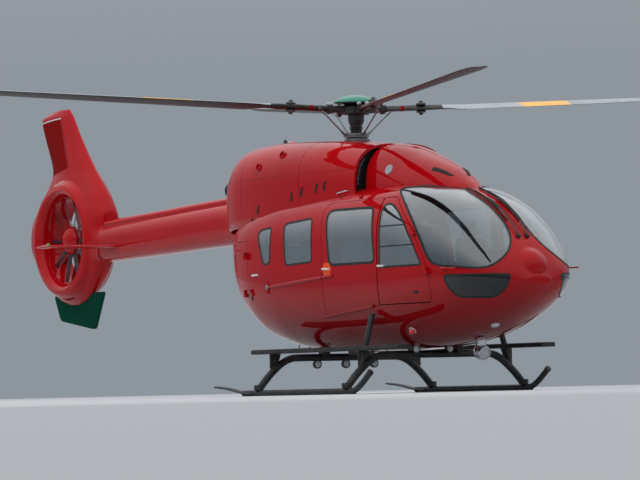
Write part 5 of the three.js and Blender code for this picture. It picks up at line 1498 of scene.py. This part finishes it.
    def plate(self, y: float, inner: float, outer: float, chord: tuple[float, float], thickness: float,
              pitch: tuple[float, float], angle: float) -> Solid:
        """A blade or vane: a wing section carried outwards from the hub, turned and tapered on its way."""
        radial = np.array([math.cos(angle), 0, math.sin(angle)])
        around = np.array([-math.sin(angle), 0, math.cos(angle)])
        share = np.linspace(0, 1, 9)
        twist = np.radians(pitch[0] + (pitch[1] - pitch[0]) * share)
        chords = chord[0] + (chord[1] - chord[0]) * share
        section = wing_section(chords, thickness * (1 - 0.4 * share), 14)
        section[..., 0] += 0.15 * chords[:, None]
        along = np.cos(twist)[:, None, None] * around + np.sin(twist)[:, None, None] * Y_AXIS
        depth = np.cross(radial, along)
        reach = inner + (outer - inner) * share
        centre = np.array([self.centre[0], y, self.centre[1]]) + reach[:, None] * radial
        return lofted(centre[:, None] + section[..., :1] * along + section[..., 1:] * depth)

    def build_fan(self) -> None:
        """The ten-blade fan on its hub, and the eleven fixed vanes behind it."""
        centre = np.array([self.centre[0], 0, self.centre[1]])
        blades = [self.plate(-35, 150, 575, (66, 58), 14, (38, 26), 2 * math.pi * i / self.fan_blades)
                  for i in range(self.fan_blades)]
        hub = turned([(0, -155), (45, -152), (95, -142), (140, -122), (168, -98), (185, -75), (185, 16),
                      (178, 20), (0, 20)], centre, Y_AXIS, 64)
        ring = turned([(176, -40), (189, -38), (189, -14), (176, -12)], centre, Y_AXIS, 64)
        dress("fan_blades", gathered(*blades), FAN_DARK, ("tail_rotor",),
              body=Body.TAIL_ROTOR)
        dress("fan_hub", hub, RED, body=Body.TAIL_ROTOR)
        dress("fan_hub_ring", ring, STEEL, body=Body.TAIL_ROTOR)
        vanes = [self.plate(120, 130, 584, (76, 70), 14, (72, 78), 2 * math.pi * (i + 0.4) / self.vanes)
                 for i in range(self.vanes)]
        gearbox = turned([(0, 20.3), (150, 20.3), (160, 60), (160, 165), (140, 200), (100, 226), (0, 235)],
                         centre, Y_AXIS, 64)
        dress("fan_vanes", gathered(*vanes), VANE_PINK, ("fan_stator",))
        dress("fan_gearbox", gearbox, RED)


# Main rotor


@dataclass
class MainRotor:
    """Four blades on a bearingless hub, with the swashplate under it and the dome on top."""

    hub_z: float = 3360.0
    tilt: float = math.radians(2)
    precone: float = math.radians(2.5)
    first: float = math.radians(-18)
    pin_out: float = 325.0
    pin_side: float = 48.0
    horn_out: float = 470.0
    damper_out: float = 800.0
    band_out: tuple[float, float] = (2300.0, 300.0)
    mark_out: tuple[float, float] = (560.0, 22.0)
    cuff_end: float = 1060.0
    ring_z: float = -286.0
    rows: tuple[tuple[float, ...], ...] = (
        (360.3, 130, 74, 65, 12), (620, 120, 66, 60, 12), (700, 150, 70, 75, 12), (1050, 150, 56, 70, 11.5),
        (1350, 325, 42, 95, 11), (3000, 325, 39, 95, 9), (4950, 325, 36, 95, 6), (5250, 285, 30, 70, 5.4),
        (5430, 215, 22, 25, 5.1), (5500, 130, 12, -30, 5))

    def in_place(self, solid: Solid) -> Solid:
        """Tilts a solid that was built level round the rotor's own axis, and lifts it to the hub."""
        return solid.moved(self.lean(), np.array([0, 0, self.hub_z]))

    def lean(self) -> Array:
        """The 3x3 matrix that tips the rotor's own axes forwards."""
        c, s = math.cos(self.tilt), math.sin(self.tilt)
        return np.array([[c, 0, s], [0, 1, 0], [-s, 0, c]])

    def axes(self, index: int) -> tuple[Array, Array, Array]:
        """Outwards along a blade, sideways to its leading edge, and up."""
        azimuth = self.first + index * math.pi / 2
        level = np.array([math.cos(azimuth), math.sin(azimuth), 0])
        out = level * math.cos(self.precone) + Z_AXIS * math.sin(self.precone)
        lead = np.cross(Z_AXIS, level)
        return out, lead, np.cross(out, lead)

    def mount(self, name: str, pieces: list[Solid], finish: Finish, slot: Slot,
              nodes: tuple[str, ...] = ()) -> None:
        """Puts pieces that were built level into place and makes them one piece that turns with the rotor."""
        dress(name, self.in_place(gathered(*pieces)), finish, nodes, body=Body.MAIN_ROTOR)

    def at(self, index: int, out: float, lead: float, up: float) -> Array:
        """A point in a blade's own axes."""
        axes = self.axes(index)
        return axes[0] * out + axes[1] * lead + axes[2] * up

    def blade(self, index: int) -> Solid:
        """A blade: wing sections whose chord, thickness and pitch follow the rows, from cuff to tip."""
        radius = spaced([(360.3, 12), (700, 14), (1000, 30), (1400, 30), (2000, 90), (4900, 90), (5300, 20),
                         (5500, 6)])
        _, chord, thickness, leading, pitch = hermite_rows(np.array(self.rows, float), radius).T
        section = wing_section(chord, thickness, 36)
        pitch = np.radians(pitch)[:, None]
        lead = section[..., 0] - 0.35 * chord[:, None] + leading[:, None]
        up = section[..., 1]
        across = lead * np.cos(pitch) - up * np.sin(pitch)
        rise = lead * np.sin(pitch) + up * np.cos(pitch)
        axes = self.axes(index)
        rings = (radius[:, None, None] * axes[0] + across[..., None] * axes[1] + rise[..., None] * axes[2])
        return lofted(rings)

    def build(self) -> None:
        """Builds the blades, dampers, hub, dome, swashplate and links."""
        hub = np.array([0, 0, self.hub_z])
        for i in range(4):
            out, _, up = (self.lean() @ axis for axis in self.axes(i))

            def reach(middles: Array, out: Array = out) -> Array:
                """How far out along the blade each face lies."""
                return (middles - hub) @ out

            def upper(normals: Array, up: Array = up) -> Array:
                """Whether each face looks upwards or outwards."""
                return normals @ up >= -0.1

            coats = (
                # Painted shade: the undersides, which face away from the sky, are dark
                Coat(BLADE_SHADE, lambda middles, normals, upper=upper: ~upper(normals)),
                Coat(BLADE_YELLOW, lambda middles, normals, reach=reach, upper=upper: (
                    np.abs(reach(middles) - self.band_out[0]) < self.band_out[1]) & upper(normals)),
                Coat(HUB_BLACK, lambda middles, normals, reach=reach: reach(middles) < self.cuff_end),
                Coat(FIN_RED, lambda middles, normals, reach=reach: (
                    np.abs(reach(middles) - self.mark_out[0]) < self.mark_out[1])),
            )
            dress(f"blade_skin_{i + 1}", self.in_place(self.blade(i)), BLADE_GREY,
                  (f"main_blade_{i + 1}",), coats=coats, body=Body.MAIN_ROTOR)
        self.build_hub()
        self.build_swashplate()

    def build_hub(self) -> None:
        """The hub with its four arms, the mast, the dampers and the dome."""
        pieces = [turned([(0, -55), (140, -55), (162, -45), (175, -20), (175, 40), (165, 52), (140, 62),
                          (0, 62)], (0, 0, 0), Z_AXIS, 64)]
        pieces.append(rod((0, 0, -400.0), (0, 0, -50.0), 68, 40))
        pieces.append(turned([(0, -40), (96, -40), (96, -120), (88, -150), (74, -176), (74, -196), (80, -204),
                              (74, -212), (80, -222), (72, -232), (0, -232)], (0, 0, 0), Z_AXIS, 48))
        dampers, caps = [], []
        for i in range(4):
            out, _, up = self.axes(i)
            reach = np.linspace(90, 360, 14)
            wide = 150 - 26 * np.sin(np.pi * (reach - 90) / 270)
            section = np.stack([rounded_section(w, 84, 5.0, 28) for w in wide])
            pieces.append(swept(reach[:, None] * out, section, up))
            for side in (-self.pin_side, self.pin_side):
                foot, middle, head = (self.at(i, self.pin_out, side, height) for height in (-58, 0, 58))
                pieces.append(rod(foot, head, 19, 20))
                caps.append(turned([(0, 44), (26, 44), (28, 50), (28, 64), (20, 72), (8, 76), (0, 76)],
                                   middle, up, 24))
            horn = [self.at(i, self.horn_out, lead, rise) for lead, rise in ((20, 0), (100, -6), (165, -20))]
            pieces.append(tube(horn, 17, out))
            for side in (-1, 1):
                base = self.at(i, self.damper_out, 0, side * 34)
                dampers.append(turned([(0, 0), (50, 0), (58, 6), (58, 18), (50, 24), (30, 26), (26, 30),
                                       (26, 40), (20, 50), (8, 52), (0, 52)], base, up * side, 32))
        self.mount("hub_and_mast", pieces, HUB_BLACK, Slot.BLACK, ("mast_and_hub",))
        self.mount("lag_dampers", dampers, DAMPER, Slot.BLACK)
        self.mount("blade_pin_caps", caps, BRIGHT, Slot.STEEL)
        dome = turned([(0, 86), (200, 86), (252, 87), (262, 91), (265, 98), (260, 107), (242, 124),
                       (210, 142), (168, 157), (120, 169), (70, 178), (30, 181.5), (0, 182)], (0, 0, 0),
                      Z_AXIS, 96)
        band = turned([(0, 62.3), (130, 62.3), (178, 77), (246, 80), (258, 83), (260, 87), (0, 90)],
                      (0, 0, 0), Z_AXIS, 96)
        self.mount("rotor_dome", [dome], DOME_TEAL, Slot.TEAL, ("rotor_cap",))
        self.mount("dome_seat", [band], HUB_BLACK, Slot.BLACK)

    def build_swashplate(self) -> None:
        """The two swashplate rings and the pitch links, each from a stub on the ring to a blade's horn."""
        lower = turned([(100, -322), (148, -322), (152, -318), (152, -304), (148, -300), (100, -300)],
                       (0, 0, 0))
        dress("swashplate_fixed_ring", self.in_place(lower), STEEL, ("swashplate_lower",))
        pieces = [turned([(100, -299.7), (148, -299.7), (152, -296), (152, -276), (148, -272), (100, -272)],
                         (0, 0, 0))]
        for i in range(4):
            end = self.at(i, self.horn_out, 150, -20)
            flat = unit(end * np.array([1, 1, 0]))
            foot = flat * 167 + Z_AXIS * self.ring_z
            top = end - unit(end - foot) * 21.3
            pieces.append(rod(flat * 132 + Z_AXIS * self.ring_z, foot, 12))
            pieces.append(rod(foot, top, 9))
            pieces.append(rod(foot + (top - foot) * 0.86, top, 15))
            pieces.append(rod(foot, foot + (top - foot) * 0.14, 15))
        self.mount("pitch_links", pieces, STEEL, Slot.STEEL, ("swashplate_upper",))


# Landing gear


@dataclass
class LandingGear:
    """Skids, cross tubes, steps and the lights that hang from them."""

    skid_y: float = -1220.0
    ground: float = 0.2
    radius: float = 34.0
    cross_radius: float = 43.0
    cross_top: float = 440.0
    strut_radius: float = 34.0
    tubes: tuple[tuple[str, float, tuple[float, ...]], ...] = (
        ("rear", -350.0, (-400, 0, 400)), ("front", 1580.0, (-330, 135)))
    arch: Outline = (
        (0, 440), (-300, 440), (-640, 440), (-740, 437), (-830, 412), (-915, 366), (-1000, 300), (-1100, 208),
        (-1202, 95))

    def build(self, cabin: Cabin) -> None:
        """Builds both skids, both cross tubes with their fittings, and the steps."""
        self.build_skids()
        clearance = cabin.hull.solid(-SEAT_GAP, coarse=2.0)
        for name, x, lights in self.tubes:
            half = [(x, y, z) for y, z in self.arch]
            whole = [(px, -py, pz) for px, py, pz in half[:0:-1]] + half
            pieces = [tube(whole, self.cross_radius, X_AXIS, 90, 20)]
            for side in (-1, 1):
                y = side * -self.skid_y
                pieces.append(rod((x, y, 66.0), (x, y, 128.0), 57, 24))
                gusset = prism([(0, 0), (0, -170), (90, -170), (150, 0)], Y_AXIS * -side, Z_AXIS,
                               X_AXIS, -8, 8)
                pieces.append(gusset.moved(np.eye(3), np.array([x, side * 1060.0, 489.7])))
                if name == "front":
                    strut = rod((x, side * 1040.0, 255.0), (x, side * 852.0, 912.0), self.strut_radius, 24)
                    pieces.append(strut)
            foot = softened([(-70, -45), (70, -45), (70, 45), (-70, 45)], 16)
            mounts = gathered(*(prism(foot + np.array([x, y]), X_AXIS, Y_AXIS, Z_AXIS, self.cross_top, 700)
                                for y in (-300, 300)))
            pieces.append(mounts - clearance)
            for y in lights:
                centre = np.array([x - 15, y, 360.0]) if name == "rear" else np.array([x + 75, y, 500.0])
                pieces.append(turned([(0, -32), (30, -32), (46, -24), (52, -8), (52, 28), (48, 32), (44, 32),
                                      (42, 24), (0, 24)], centre, X_AXIS, 32))
                pieces.append(rod(centre, (x, y, self.cross_top), 13))
                lens = turned([(0, 22), (41, 22), (41, 26), (24, 33), (0, 36)], centre, X_AXIS, 32)
                dress(f"belly_lens_{name}_{400 + y}", lens, LENS)
            dress(f"cross_tube_{name}_coat", gathered(*pieces), BLACK,
                  (f"cross_tube_{name}",))
        self.build_steps()

    def build_skids(self) -> None:
        """A skid: a tube that curves up at the front, with wear shoes under it and a springy tail plate."""
        y, r = self.skid_y, self.radius
        path = [(-700, y, r), (-200, y, r), (600, y, r), (1400, y, r), (1640, y, r + 1), (1760, y, r + 14),
                (1860, y, r + 60), (1965, y, 160), (2070, y, 235)]
        skid = tube(path, r, Y_AXIS, 120, 20)
        tail = smooth_path([(-1310, y, 114), (-1060, y, 93), (-640, y, 34), (-450, y, 27)], 30)
        plate = swept(tail, rounded_section(96, 22, 4.0), Z_AXIS)
        shoe = rounded_section(48, 20, 6.0)
        shoes = [swept([(x + along, y, 10.0) for along in (-160, -150, 150, 160)], shoe, Z_AXIS)
                 for _, x, _ in self.tubes]
        cap = turned([(0, -6), (30, -6), (38, 0), (38, 16), (30, 24), (0, 28)], (2070, y, 235.0),
                     np.array([0.81, 0, 0.58]), 24)
        coat = gathered(skid, plate, cap, *shoes)
        coat = Solid(np.maximum(coat.points, [-np.inf, -np.inf, self.ground]), coat.faces)
        dress_pair("skid_coat", coat, BLACK, "skid")

    def build_steps(self) -> None:
        """A step: a plank with rounded edges, ribs across its top and end caps."""
        x = np.concatenate([[-760, -755], np.linspace(-740, 2420, 60), [2435, 2440]])
        middle = np.stack([x, np.full_like(x, -985.0), np.full_like(x, 517.5)], axis=-1)
        shrink = np.ones_like(x)
        shrink[[0, -1]] = 0.9
        section = rounded_section(180, 54, 7.0, 36)[None] * shrink[:, None, None]
        plank = swept(middle, section, Z_AXIS)
        ribs = [swept(np.array([[at, -1062, 543.0], [at, -908, 543.0]]), rounded_section(9, 4, 3.0, 10),
                      Z_AXIS) for at in np.arange(-700, 2400, 60)]
        dress_pair("step_coat", gathered(plank, *ribs), STEP_BLACK, "step")


# Cabin fittings


@dataclass
class Seats:
    """Two crew seats and two rows of three cabin seats."""

    width: float = 470.0
    depth: float = 460.0
    base: float = 840.3

    def cushion(self, size: tuple[float, float, float], crown: float, channels: int) -> Solid:
        """A stuffed pad about the origin, lying flat.

        The pad is a superellipsoid: x and y follow cos(lat) to the power 0.75 and cos or sin(lon) to the
        power 0.45, and z follows sin(lat) to the power 0.8. Its sides draw in between the corners, its top
        swells by the crown, a welt stands out where lat is 0, and sewn channels dip across the top.
        """
        lat = np.linspace(-np.pi / 2, np.pi / 2, 49)[:, None]
        lon = (2 * np.pi * np.arange(120) / 120)[None]
        ring = np.cos(lat) ** 0.75
        c, s = np.cos(lon), np.sin(lon)
        draw = 1 - 0.03 * np.cos(2 * lon) ** 2
        welt = 1 + 0.012 * np.exp(-((lat / 0.06) ** 2))
        x = size[0] / 2 * ring * np.sign(c) * np.abs(c) ** 0.45 * draw * welt
        y = size[1] / 2 * ring * np.sign(s) * np.abs(s) ** 0.45 * draw * welt
        z = (size[2] / 2 - crown) * np.sign(np.sin(lat)) * np.abs(np.sin(lat)) ** 0.8 + 0 * lon
        across = np.clip(1 - (2 * x / size[0]) ** 2, 0, 1) * np.clip(1 - (2 * y / size[1]) ** 2, 0, 1)
        top = np.clip(np.sin(lat) * 3, 0, 1)
        z = z + top * crown * across
        for k in range(channels):
            at = size[0] * ((k + 1) / (channels + 1) - 0.5)
            z = z - top * 7 * np.exp(-(((x - at) / 7) ** 2))
        return lofted(np.stack([x, y, z], axis=-1))

    def seat(self, x: float, y: float) -> tuple[Solid, Solid]:
        """The cushions and the frame of one seat, its middle at x and y."""
        half = self.depth / 2
        pan = self.cushion((self.depth, self.width - 10, 96), 16, 2)
        pan = pan.moved(np.eye(3), np.array([x - 4, y, self.base + 378]))
        lean = math.atan2(110, 620)
        upright = np.array([[-math.sin(lean), 0, math.cos(lean)], [0, -1, 0],
                            [math.cos(lean), 0, math.sin(lean)]])
        back = self.cushion((600, self.width - 10, 88), 14, 4)
        back = back.moved(upright, np.array([x - half - 10, y, self.base + 640]))
        head = self.cushion((200, 245, 70), 8, 0)
        head = head.moved(upright, np.array([x - half - 76, y, self.base + 1036]))
        pedestal = [rod((x + a, y + b, self.base), (x + a * 0.9, y + b, self.base + 330), 14)
                    for a in (-140, 140) for b in (-110, 110)]
        rails = [swept(np.array([[x - 160, y + b, self.base + 8], [x + 160, y + b, self.base + 8]]),
                       rounded_section(40, 16, 5.0, 16), Z_AXIS) for b in (-110, 110)]
        pan_frame = swept(np.array([[x - half + 6, y, self.base + 338.0],
                                    [x + half - 20, y, self.base + 338.0]]),
                          rounded_section(430, 20, 8.0, 24), Z_AXIS)
        return gathered(pan, back, head), gathered(*pedestal, *rails, pan_frame)

    def place(self, name: str, spots: list[tuple[float, float]], node: str) -> None:
        """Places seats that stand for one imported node."""
        frames = []
        for i, (x, y) in enumerate(spots):
            pads, base = self.seat(x, y)
            frames.append(base)
            made = dress(f"{name}_pads_{i + 1}", pads, CLOTH, (node,), angle=50)
        dress(f"{name}_frame", gathered(*frames), COAMING)

    def build(self) -> None:
        """Places all eight seats."""
        self.place("crew_seat_right", [(2060, -390)], "pilot_seat_right")
        self.place("crew_seat_left", [(2060, 390)], "pilot_seat_left")
        for name, x in (("front", 1020.0), ("rear", -100.0)):
            self.place(f"cabin_row_{name}", [(x, y) for y in (-500, 0, 500)], f"cabin_seats_{name}")


@dataclass
class Panel:
    """The instrument panel under its coaming, with the centre console."""

    centre: tuple[float, float] = (2920.0, 1465.0)
    half_width: float = 480.0
    bow: float = 30.0
    screens: tuple[float, ...] = (-330.0, -110.0, 110.0, 330.0)
    screen_half: float = 95.0

    def build(self) -> None:
        """Builds the panel, its screens and the console."""
        y = np.linspace(-self.half_width, self.half_width, 41)
        x = self.centre[0] - self.bow * (y / self.half_width) ** 2
        middle = np.stack([x, y, np.full_like(y, self.centre[1])], axis=-1)
        outline = np.array([(-100, -130), (100, -130), (100, 15), (0, 130), (-60, 134), (-112, 112),
                            (-108, 100), (-86, 96), (-72, 10)], float)
        face = swept(middle, softened(outline.tolist(), 14, 4) * np.array([-1, 1]), Z_AXIS)
        console = prism(softened([(2420, 841), (3000, 841), (3000, 1400), (2860, 1400), (2780, 1120),
                                  (2420, 1060)], 30), X_AXIS, Z_AXIS, Y_AXIS, -130, 130)
        dress("coaming", gathered(face, console), COAMING, ("instrument_panel",))
        screen, keypad = rounded_section(10, 150, 8.0, 24), rounded_section(160, 30, 6.0, 24)
        screens = [swept([(2838, y - self.screen_half, 1470), (2838, y + self.screen_half, 1470)], screen,
                         Z_AXIS) for y in self.screens]
        screens.append(swept([(2560, -90, 1080), (2560, 90, 1080)], keypad, np.array([-0.17, 0, 0.98])))
        dress("panel_screens", gathered(*screens), SCREEN)


@dataclass
class Searchlight:
    """The steerable searchlight under the nose."""

    centre: tuple[float, float, float] = (2330.0, 120.0, 440.0)

    def build(self) -> None:
        """Builds the drum, its lens, its yoke and the mount."""
        middle = np.array(self.centre)
        aim = unit(np.array([150.0, 0, -30.0]))
        drum = turned([(0, -78), (40, -74), (68, -56), (80, -30), (80, 68), (77, 74), (70, 74), (67, 60),
                       (0, 60)], middle, aim, 48)
        yoke = tube([middle + [0, -92, 0], middle + [0, -94, 50], middle + [0, -60, 72], middle + [0, 60, 72],
                     middle + [0, 94, 50], middle + [0, 92, 0]], 9, X_AXIS, 50)
        mount = turned([(0, 70), (50, 70), (58, 80), (60, 150), (0, 150)], middle, Z_AXIS, 40)
        lens = turned([(0, 58), (66, 58), (66, 62), (40, 70), (0, 73)], middle, aim, 48)
        dress("searchlight_body", gathered(drum, yoke, mount), BRIGHT, ("searchlight",))
        dress("searchlight_lens", lens, LENS)


# Trim


@dataclass
class Trim:
    """Handles, rails, wipers, probes and lamps on the cabin's skin."""

    hull: Hull
    rail_radius: float = 20.0
    rail_end: float = -703.0
    wiper_foot: tuple[float, float] = (3370.0, -58.0)
    wiper_top: float = 2790.0
    pitot_foot: tuple[float, float] = (2960.0, 1372.0)

    def build(self) -> None:
        """Builds everything that is fixed on the cabin's outside."""
        self.build_handles()
        self.build_rails()
        self.build_wipers()
        self.build_belly()

    def build_handles(self) -> None:
        """White door handles, the orange mark round one of them, and near-black plates painted on the skin
        for the shade in a wall recess and a vent.
        """
        bar = rounded_section(24, 14, 4.0, 16)
        mark = softened([(552, 1452), (588, 1524), (700, 1524), (742, 1452), (700, 1380), (588, 1380)], 16)
        dress_pair("release_mark", self.hull.plate([mark], 2.0), ORANGE, "", self.hull)
        dress_pair("sliding_door_handle", self.hull.handle((560, 1456), (700, 1452), 26, bar), WHITE)
        dress_pair("wall_handle", self.hull.handle((-1100, 1440), (-960, 1442), 20, bar), WHITE)
        dress_pair("front_door_handle", self.hull.handle((1736, 1447), (1852, 1443), 20, bar), WHITE,
                   bodies=FRONT_DOORS)
        # Painted shade: near-black plates stand for the dark inside the recess and the vent
        recess = softened([(-1205, 1130), (-1150, 1150), (-1160, 1210), (-1212, 1192)], 12)
        vent = softened([(2380, 1118), (2440, 1106), (2500, 1124), (2450, 1150)], 12)
        marks = self.hull.plate([recess, vent], 1.5)
        dress_pair("side_recess_shade", marks, PAINTED_SHADE, "", self.hull)

    def build_rails(self) -> None:
        """The sliding door's guide rails, with a round end stop."""
        radius, end = self.rail_radius, self.rail_end
        rail = tube([(end, -846, 1286), (-500, -857, 1298), (0, -863, 1327), (532, -866, 1358)], radius,
                    Z_AXIS, 40)
        post = rod((end, -843, 1212), (end, -845, 1363), radius)
        door = rod((548, -866, 1359), (776, -867, 1373), radius)
        path, out = self.hull.on_right(np.linspace((505, 905), (1580, 996), 16))
        sill = swept(path + 8 * out, rounded_section(36, 34, 3.0), out)
        dress_pair("guide_rail", gathered(rail, post, door, sill), RED)
        stop = turned([(0, -6), (24, -6), (30, 0), (30, 14), (22, 24), (8, 28), (0, 28)], (end, -852, 1288),
                      -Y_AXIS, 32)
        dress_pair("rail_stop", stop, STEEL)
        knob = self.hull.boss((1180, 2262), [(0, -8), (26, -8), (28, 6), (22, 20), (10, 26), (0, 27)])
        dress_pair("door_stop", knob, RED)

    def build_wipers(self) -> None:
        """A wiper on each side of the windshield's centre post, parked upright, and the pitot probes."""
        bosses, arms, blades = [], [], []
        foot_x, foot_y = self.wiper_foot
        at, normals = self.hull.on_top([self.wiper_foot])
        bosses.append(turned([(0, -10), (30, -10), (30, 18), (24, 30), (12, 36), (0, 36)], at[0],
                             normals[0], 40))
        x = np.linspace(foot_x, self.wiper_top, 24)
        share = np.linspace(0, 1, 24)
        for spread in (-14.0, 14.0):
            y = foot_y - 10 * share + spread * (1 - 0.4 * share)
            path, ups = self.hull.on_top(np.stack([x, y], axis=-1))
            rise = 24 + 14 * np.sin(np.pi * share)
            arms.append(swept(path + rise[:, None] * ups, circle(5.5, 12), ups))
        x = np.linspace(3190, 2420, 30)
        path, ups = self.hull.on_top(np.stack([x, np.full_like(x, -84.0)], axis=-1))
        blades.append(swept(path + 14 * ups, rounded_section(16, 22, 3.0, 14), ups))
        blades.append(swept(path[6:-6] + 26 * ups[6:-6], rounded_section(9, 14, 3.0, 12), ups[6:-6]))
        dress_pair("wiper", gathered(*bosses, *arms, *blades), BLACK)
        foot, out = self.hull.on_right([self.pitot_foot])
        elbow = foot[0] + 58 * out[0]
        front = np.array([elbow[0] + 285, elbow[1] - 4, elbow[2] - 6])
        stem, shank = np.linspace(foot[0] - 10 * out[0], elbow, 4), np.linspace(elbow + [30, 0, -1], front, 4)
        path = np.concatenate([stem, shank])
        width = np.interp(np.linspace(0, 1, 40), [0, 0.2, 0.4, 1], [20, 14, 10, 9])
        probe = swept(smooth_path(path, 40), circle(width, 16), Z_AXIS)
        dress_pair("pitot_probe", probe, RED)

    def build_belly(self) -> None:
        """Lamps, the beacon and the thin antennas under the cabin."""
        place, aim = self.hull.on_belly(3000.0, -139.0)
        lamp = turned([(0, -10), (48, -10), (50, 4), (44, 12), (20, 17), (0, 18)], place, aim, 40)
        dress("landing_lamp", lamp, LENS)
        place, aim = self.hull.on_belly(2070.0, -630.0)
        foot = turned([(0, -12), (46, -12), (46, 8), (0, 8)], place, aim, 40)
        dress("belly_beacon_foot", foot, WHITE)
        beacon = turned([(0, 6), (36, 6), (36, 30), (28, 48), (12, 56), (0, 57)], place, aim, 40)
        dress("belly_beacon", beacon, BEACON)
        masts = []
        for x, y, length in ((-1150.0, -120.0, 120.0), (-760.0, -240.0, 60.0), (1250.0, -420.0, 70.0)):
            place, aim = self.hull.on_belly(x, y)
            lean = unit(aim + np.array([-0.6, 0, 0]))
            masts.append(turned([(0, -6), (22, -6), (22, 6), (12, 12), (0, 12)], place, aim, 24))
            masts.append(rod(place, place + lean * length, 6, 12))
        dress("belly_antennas", gathered(*masts), BLACK)


# Stage


@dataclass
class Studio:
    """The pale floor, the soft light and the camera at the photograph's viewing angle."""

    target: tuple[float, float, float] = (1.444, 0.0, 1.8)
    azimuth: float = 32.585
    elevation: float = -2.168
    roll: float = -1.333
    distance: float = 46.0
    focal_pixels: float = 3881.1
    target_pixel: tuple[float, float] = (359.1, 241.7)
    picture: tuple[float, float] = (640.0, 480.0)
    sensor: float = 36.0
    radius: float = 60.0
    floor_drop: float = 0.001
    floor_colour: str = "#b6b9bc"
    horizon_colour: str = "#8d959d"
    overhead_colour: str = "#fcfdff"

    def build(self) -> None:
        """Sets up the floor, the lights, the sky and the camera."""
        self.build_floor()
        self.build_lights()
        self.build_camera()

    def build_floor(self) -> None:
        """A round matt floor, pale and plain, just under the skids."""
        angle = 2 * np.pi * np.arange(96) / 96
        ring = np.stack([self.radius * np.cos(angle), self.radius * np.sin(angle),
                         np.full(96, -self.floor_drop)], axis=-1)
        mesh = bpy.data.meshes.new("studio_floor")
        mesh.from_pydata(ring.tolist(), [], [list(range(96))])
        mesh.materials.append(Finish("studio_floor_paint", self.floor_colour, 0.85).material())
        made = bpy.data.objects.new("studio_floor", mesh)
        bpy.context.scene.collection.objects.link(made)

    def build_lights(self) -> None:
        """Wide soft panels over and beside the aircraft, in a surround that is palest overhead."""
        plan = (
            ("sky_panel", (0.0, -5.0, 14.0), (0.0, 0.0, 1.5), 18.0, 1100.0),
            ("front_fill", (16.0, -16.0, 7.0), (1.0, 0.0, 1.5), 9.0, 260.0),
            ("rear_fill", (-16.0, 8.0, 8.0), (-1.0, 0.0, 1.5), 9.0, 260.0),
        )
        for name, place, aim, size, power in plan:
            light = bpy.data.lights.new(name, "AREA")
            light.size = size
            light.energy = power
            made = bpy.data.objects.new(name, light)
            made.location = place
            made.rotation_euler = (Vector(aim) - Vector(place)).to_track_quat("-Z", "Y").to_euler()
            made.visible_glossy = False
            bpy.context.scene.collection.objects.link(made)
        world = bpy.data.worlds.new("pale_surround")
        world.use_nodes = True
        tree = world.node_tree
        tree.nodes.clear()
        place = add(tree, "TexCoord").outputs["Generated"]
        height = add(tree, "SeparateXYZ", {0: place})
        ramp = add(tree, "MapRange", {"Value": height.outputs[2], 1: 0.08, 2: 0.55, 3: 0.0, 4: 1.0})
        shade = add(tree, "Mix", {0: ramp.outputs[0], 6: linear(self.horizon_colour),
                                  7: linear(self.overhead_colour)}, data_type="RGBA")
        back = add(tree, "Background", {"Color": shade.outputs[2], "Strength": 1.0})
        output = add(tree, "OutputWorld")
        tree.links.new(back.outputs[0], output.inputs[0])
        bpy.context.scene.world = world
        bpy.context.scene.view_settings.view_transform = "Standard"

    def build_camera(self) -> None:
        """Places the camera so that the target falls on its pixel of the picture."""
        az, el, roll = (math.radians(v) for v in (self.azimuth, self.elevation, self.roll))
        back = np.array([math.cos(az) * math.cos(el), -math.sin(az) * math.cos(el), math.sin(el)])
        right = unit(np.cross(Z_AXIS, back))
        up = np.cross(back, right)
        c, s = math.cos(roll), math.sin(roll)
        right, up = c * right + s * up, c * up - s * right
        place = np.array(self.target) + self.distance * back
        width, height = self.picture
        across = math.atan2(self.target_pixel[0] - width / 2, self.focal_pixels)
        rise = math.atan2(height / 2 - self.target_pixel[1], self.focal_pixels)
        look = unit(-back - math.tan(across) * right - math.tan(rise) * up)
        side = unit(np.cross(look, up))
        top = np.cross(side, look)
        camera = bpy.data.cameras.new("camera")
        camera.sensor_width = self.sensor
        camera.lens = self.focal_pixels * self.sensor / width
        camera.clip_end = 400
        made = bpy.data.objects.new("camera", camera)
        turn = Matrix([[side[i], top[i], -look[i]] for i in range(3)]).to_4x4()
        made.matrix_world = Matrix.Translation(Vector(place)) @ turn
        bpy.context.scene.collection.objects.link(made)
        bpy.context.scene.camera = made


def coat_nodes() -> None:
    """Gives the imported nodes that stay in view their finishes."""
    for name in ("main_gearbox", "engine_right", "engine_left"):
        mesh = frame["nodes"][name].data
        mesh.materials.clear()
        mesh.materials.append(GREY_CAST.material())


def main() -> None:
    """Builds the stage and every piece; each piece logs its triangle count as it is made."""
    logging.basicConfig(level=logging.INFO, format="%(message)s")
    Studio().build()
    cabin = Cabin()
    cabin.build()
    Cowls().build(cabin)
    Boom().build(cabin)
    TailUnit().build()
    MainRotor().build()
    LandingGear().build(cabin)
    Seats().build()
    Panel().build()
    Searchlight().build()
    Trim(cabin.hull).build()
    coat_nodes()


if __name__ == "__main__":
    main()
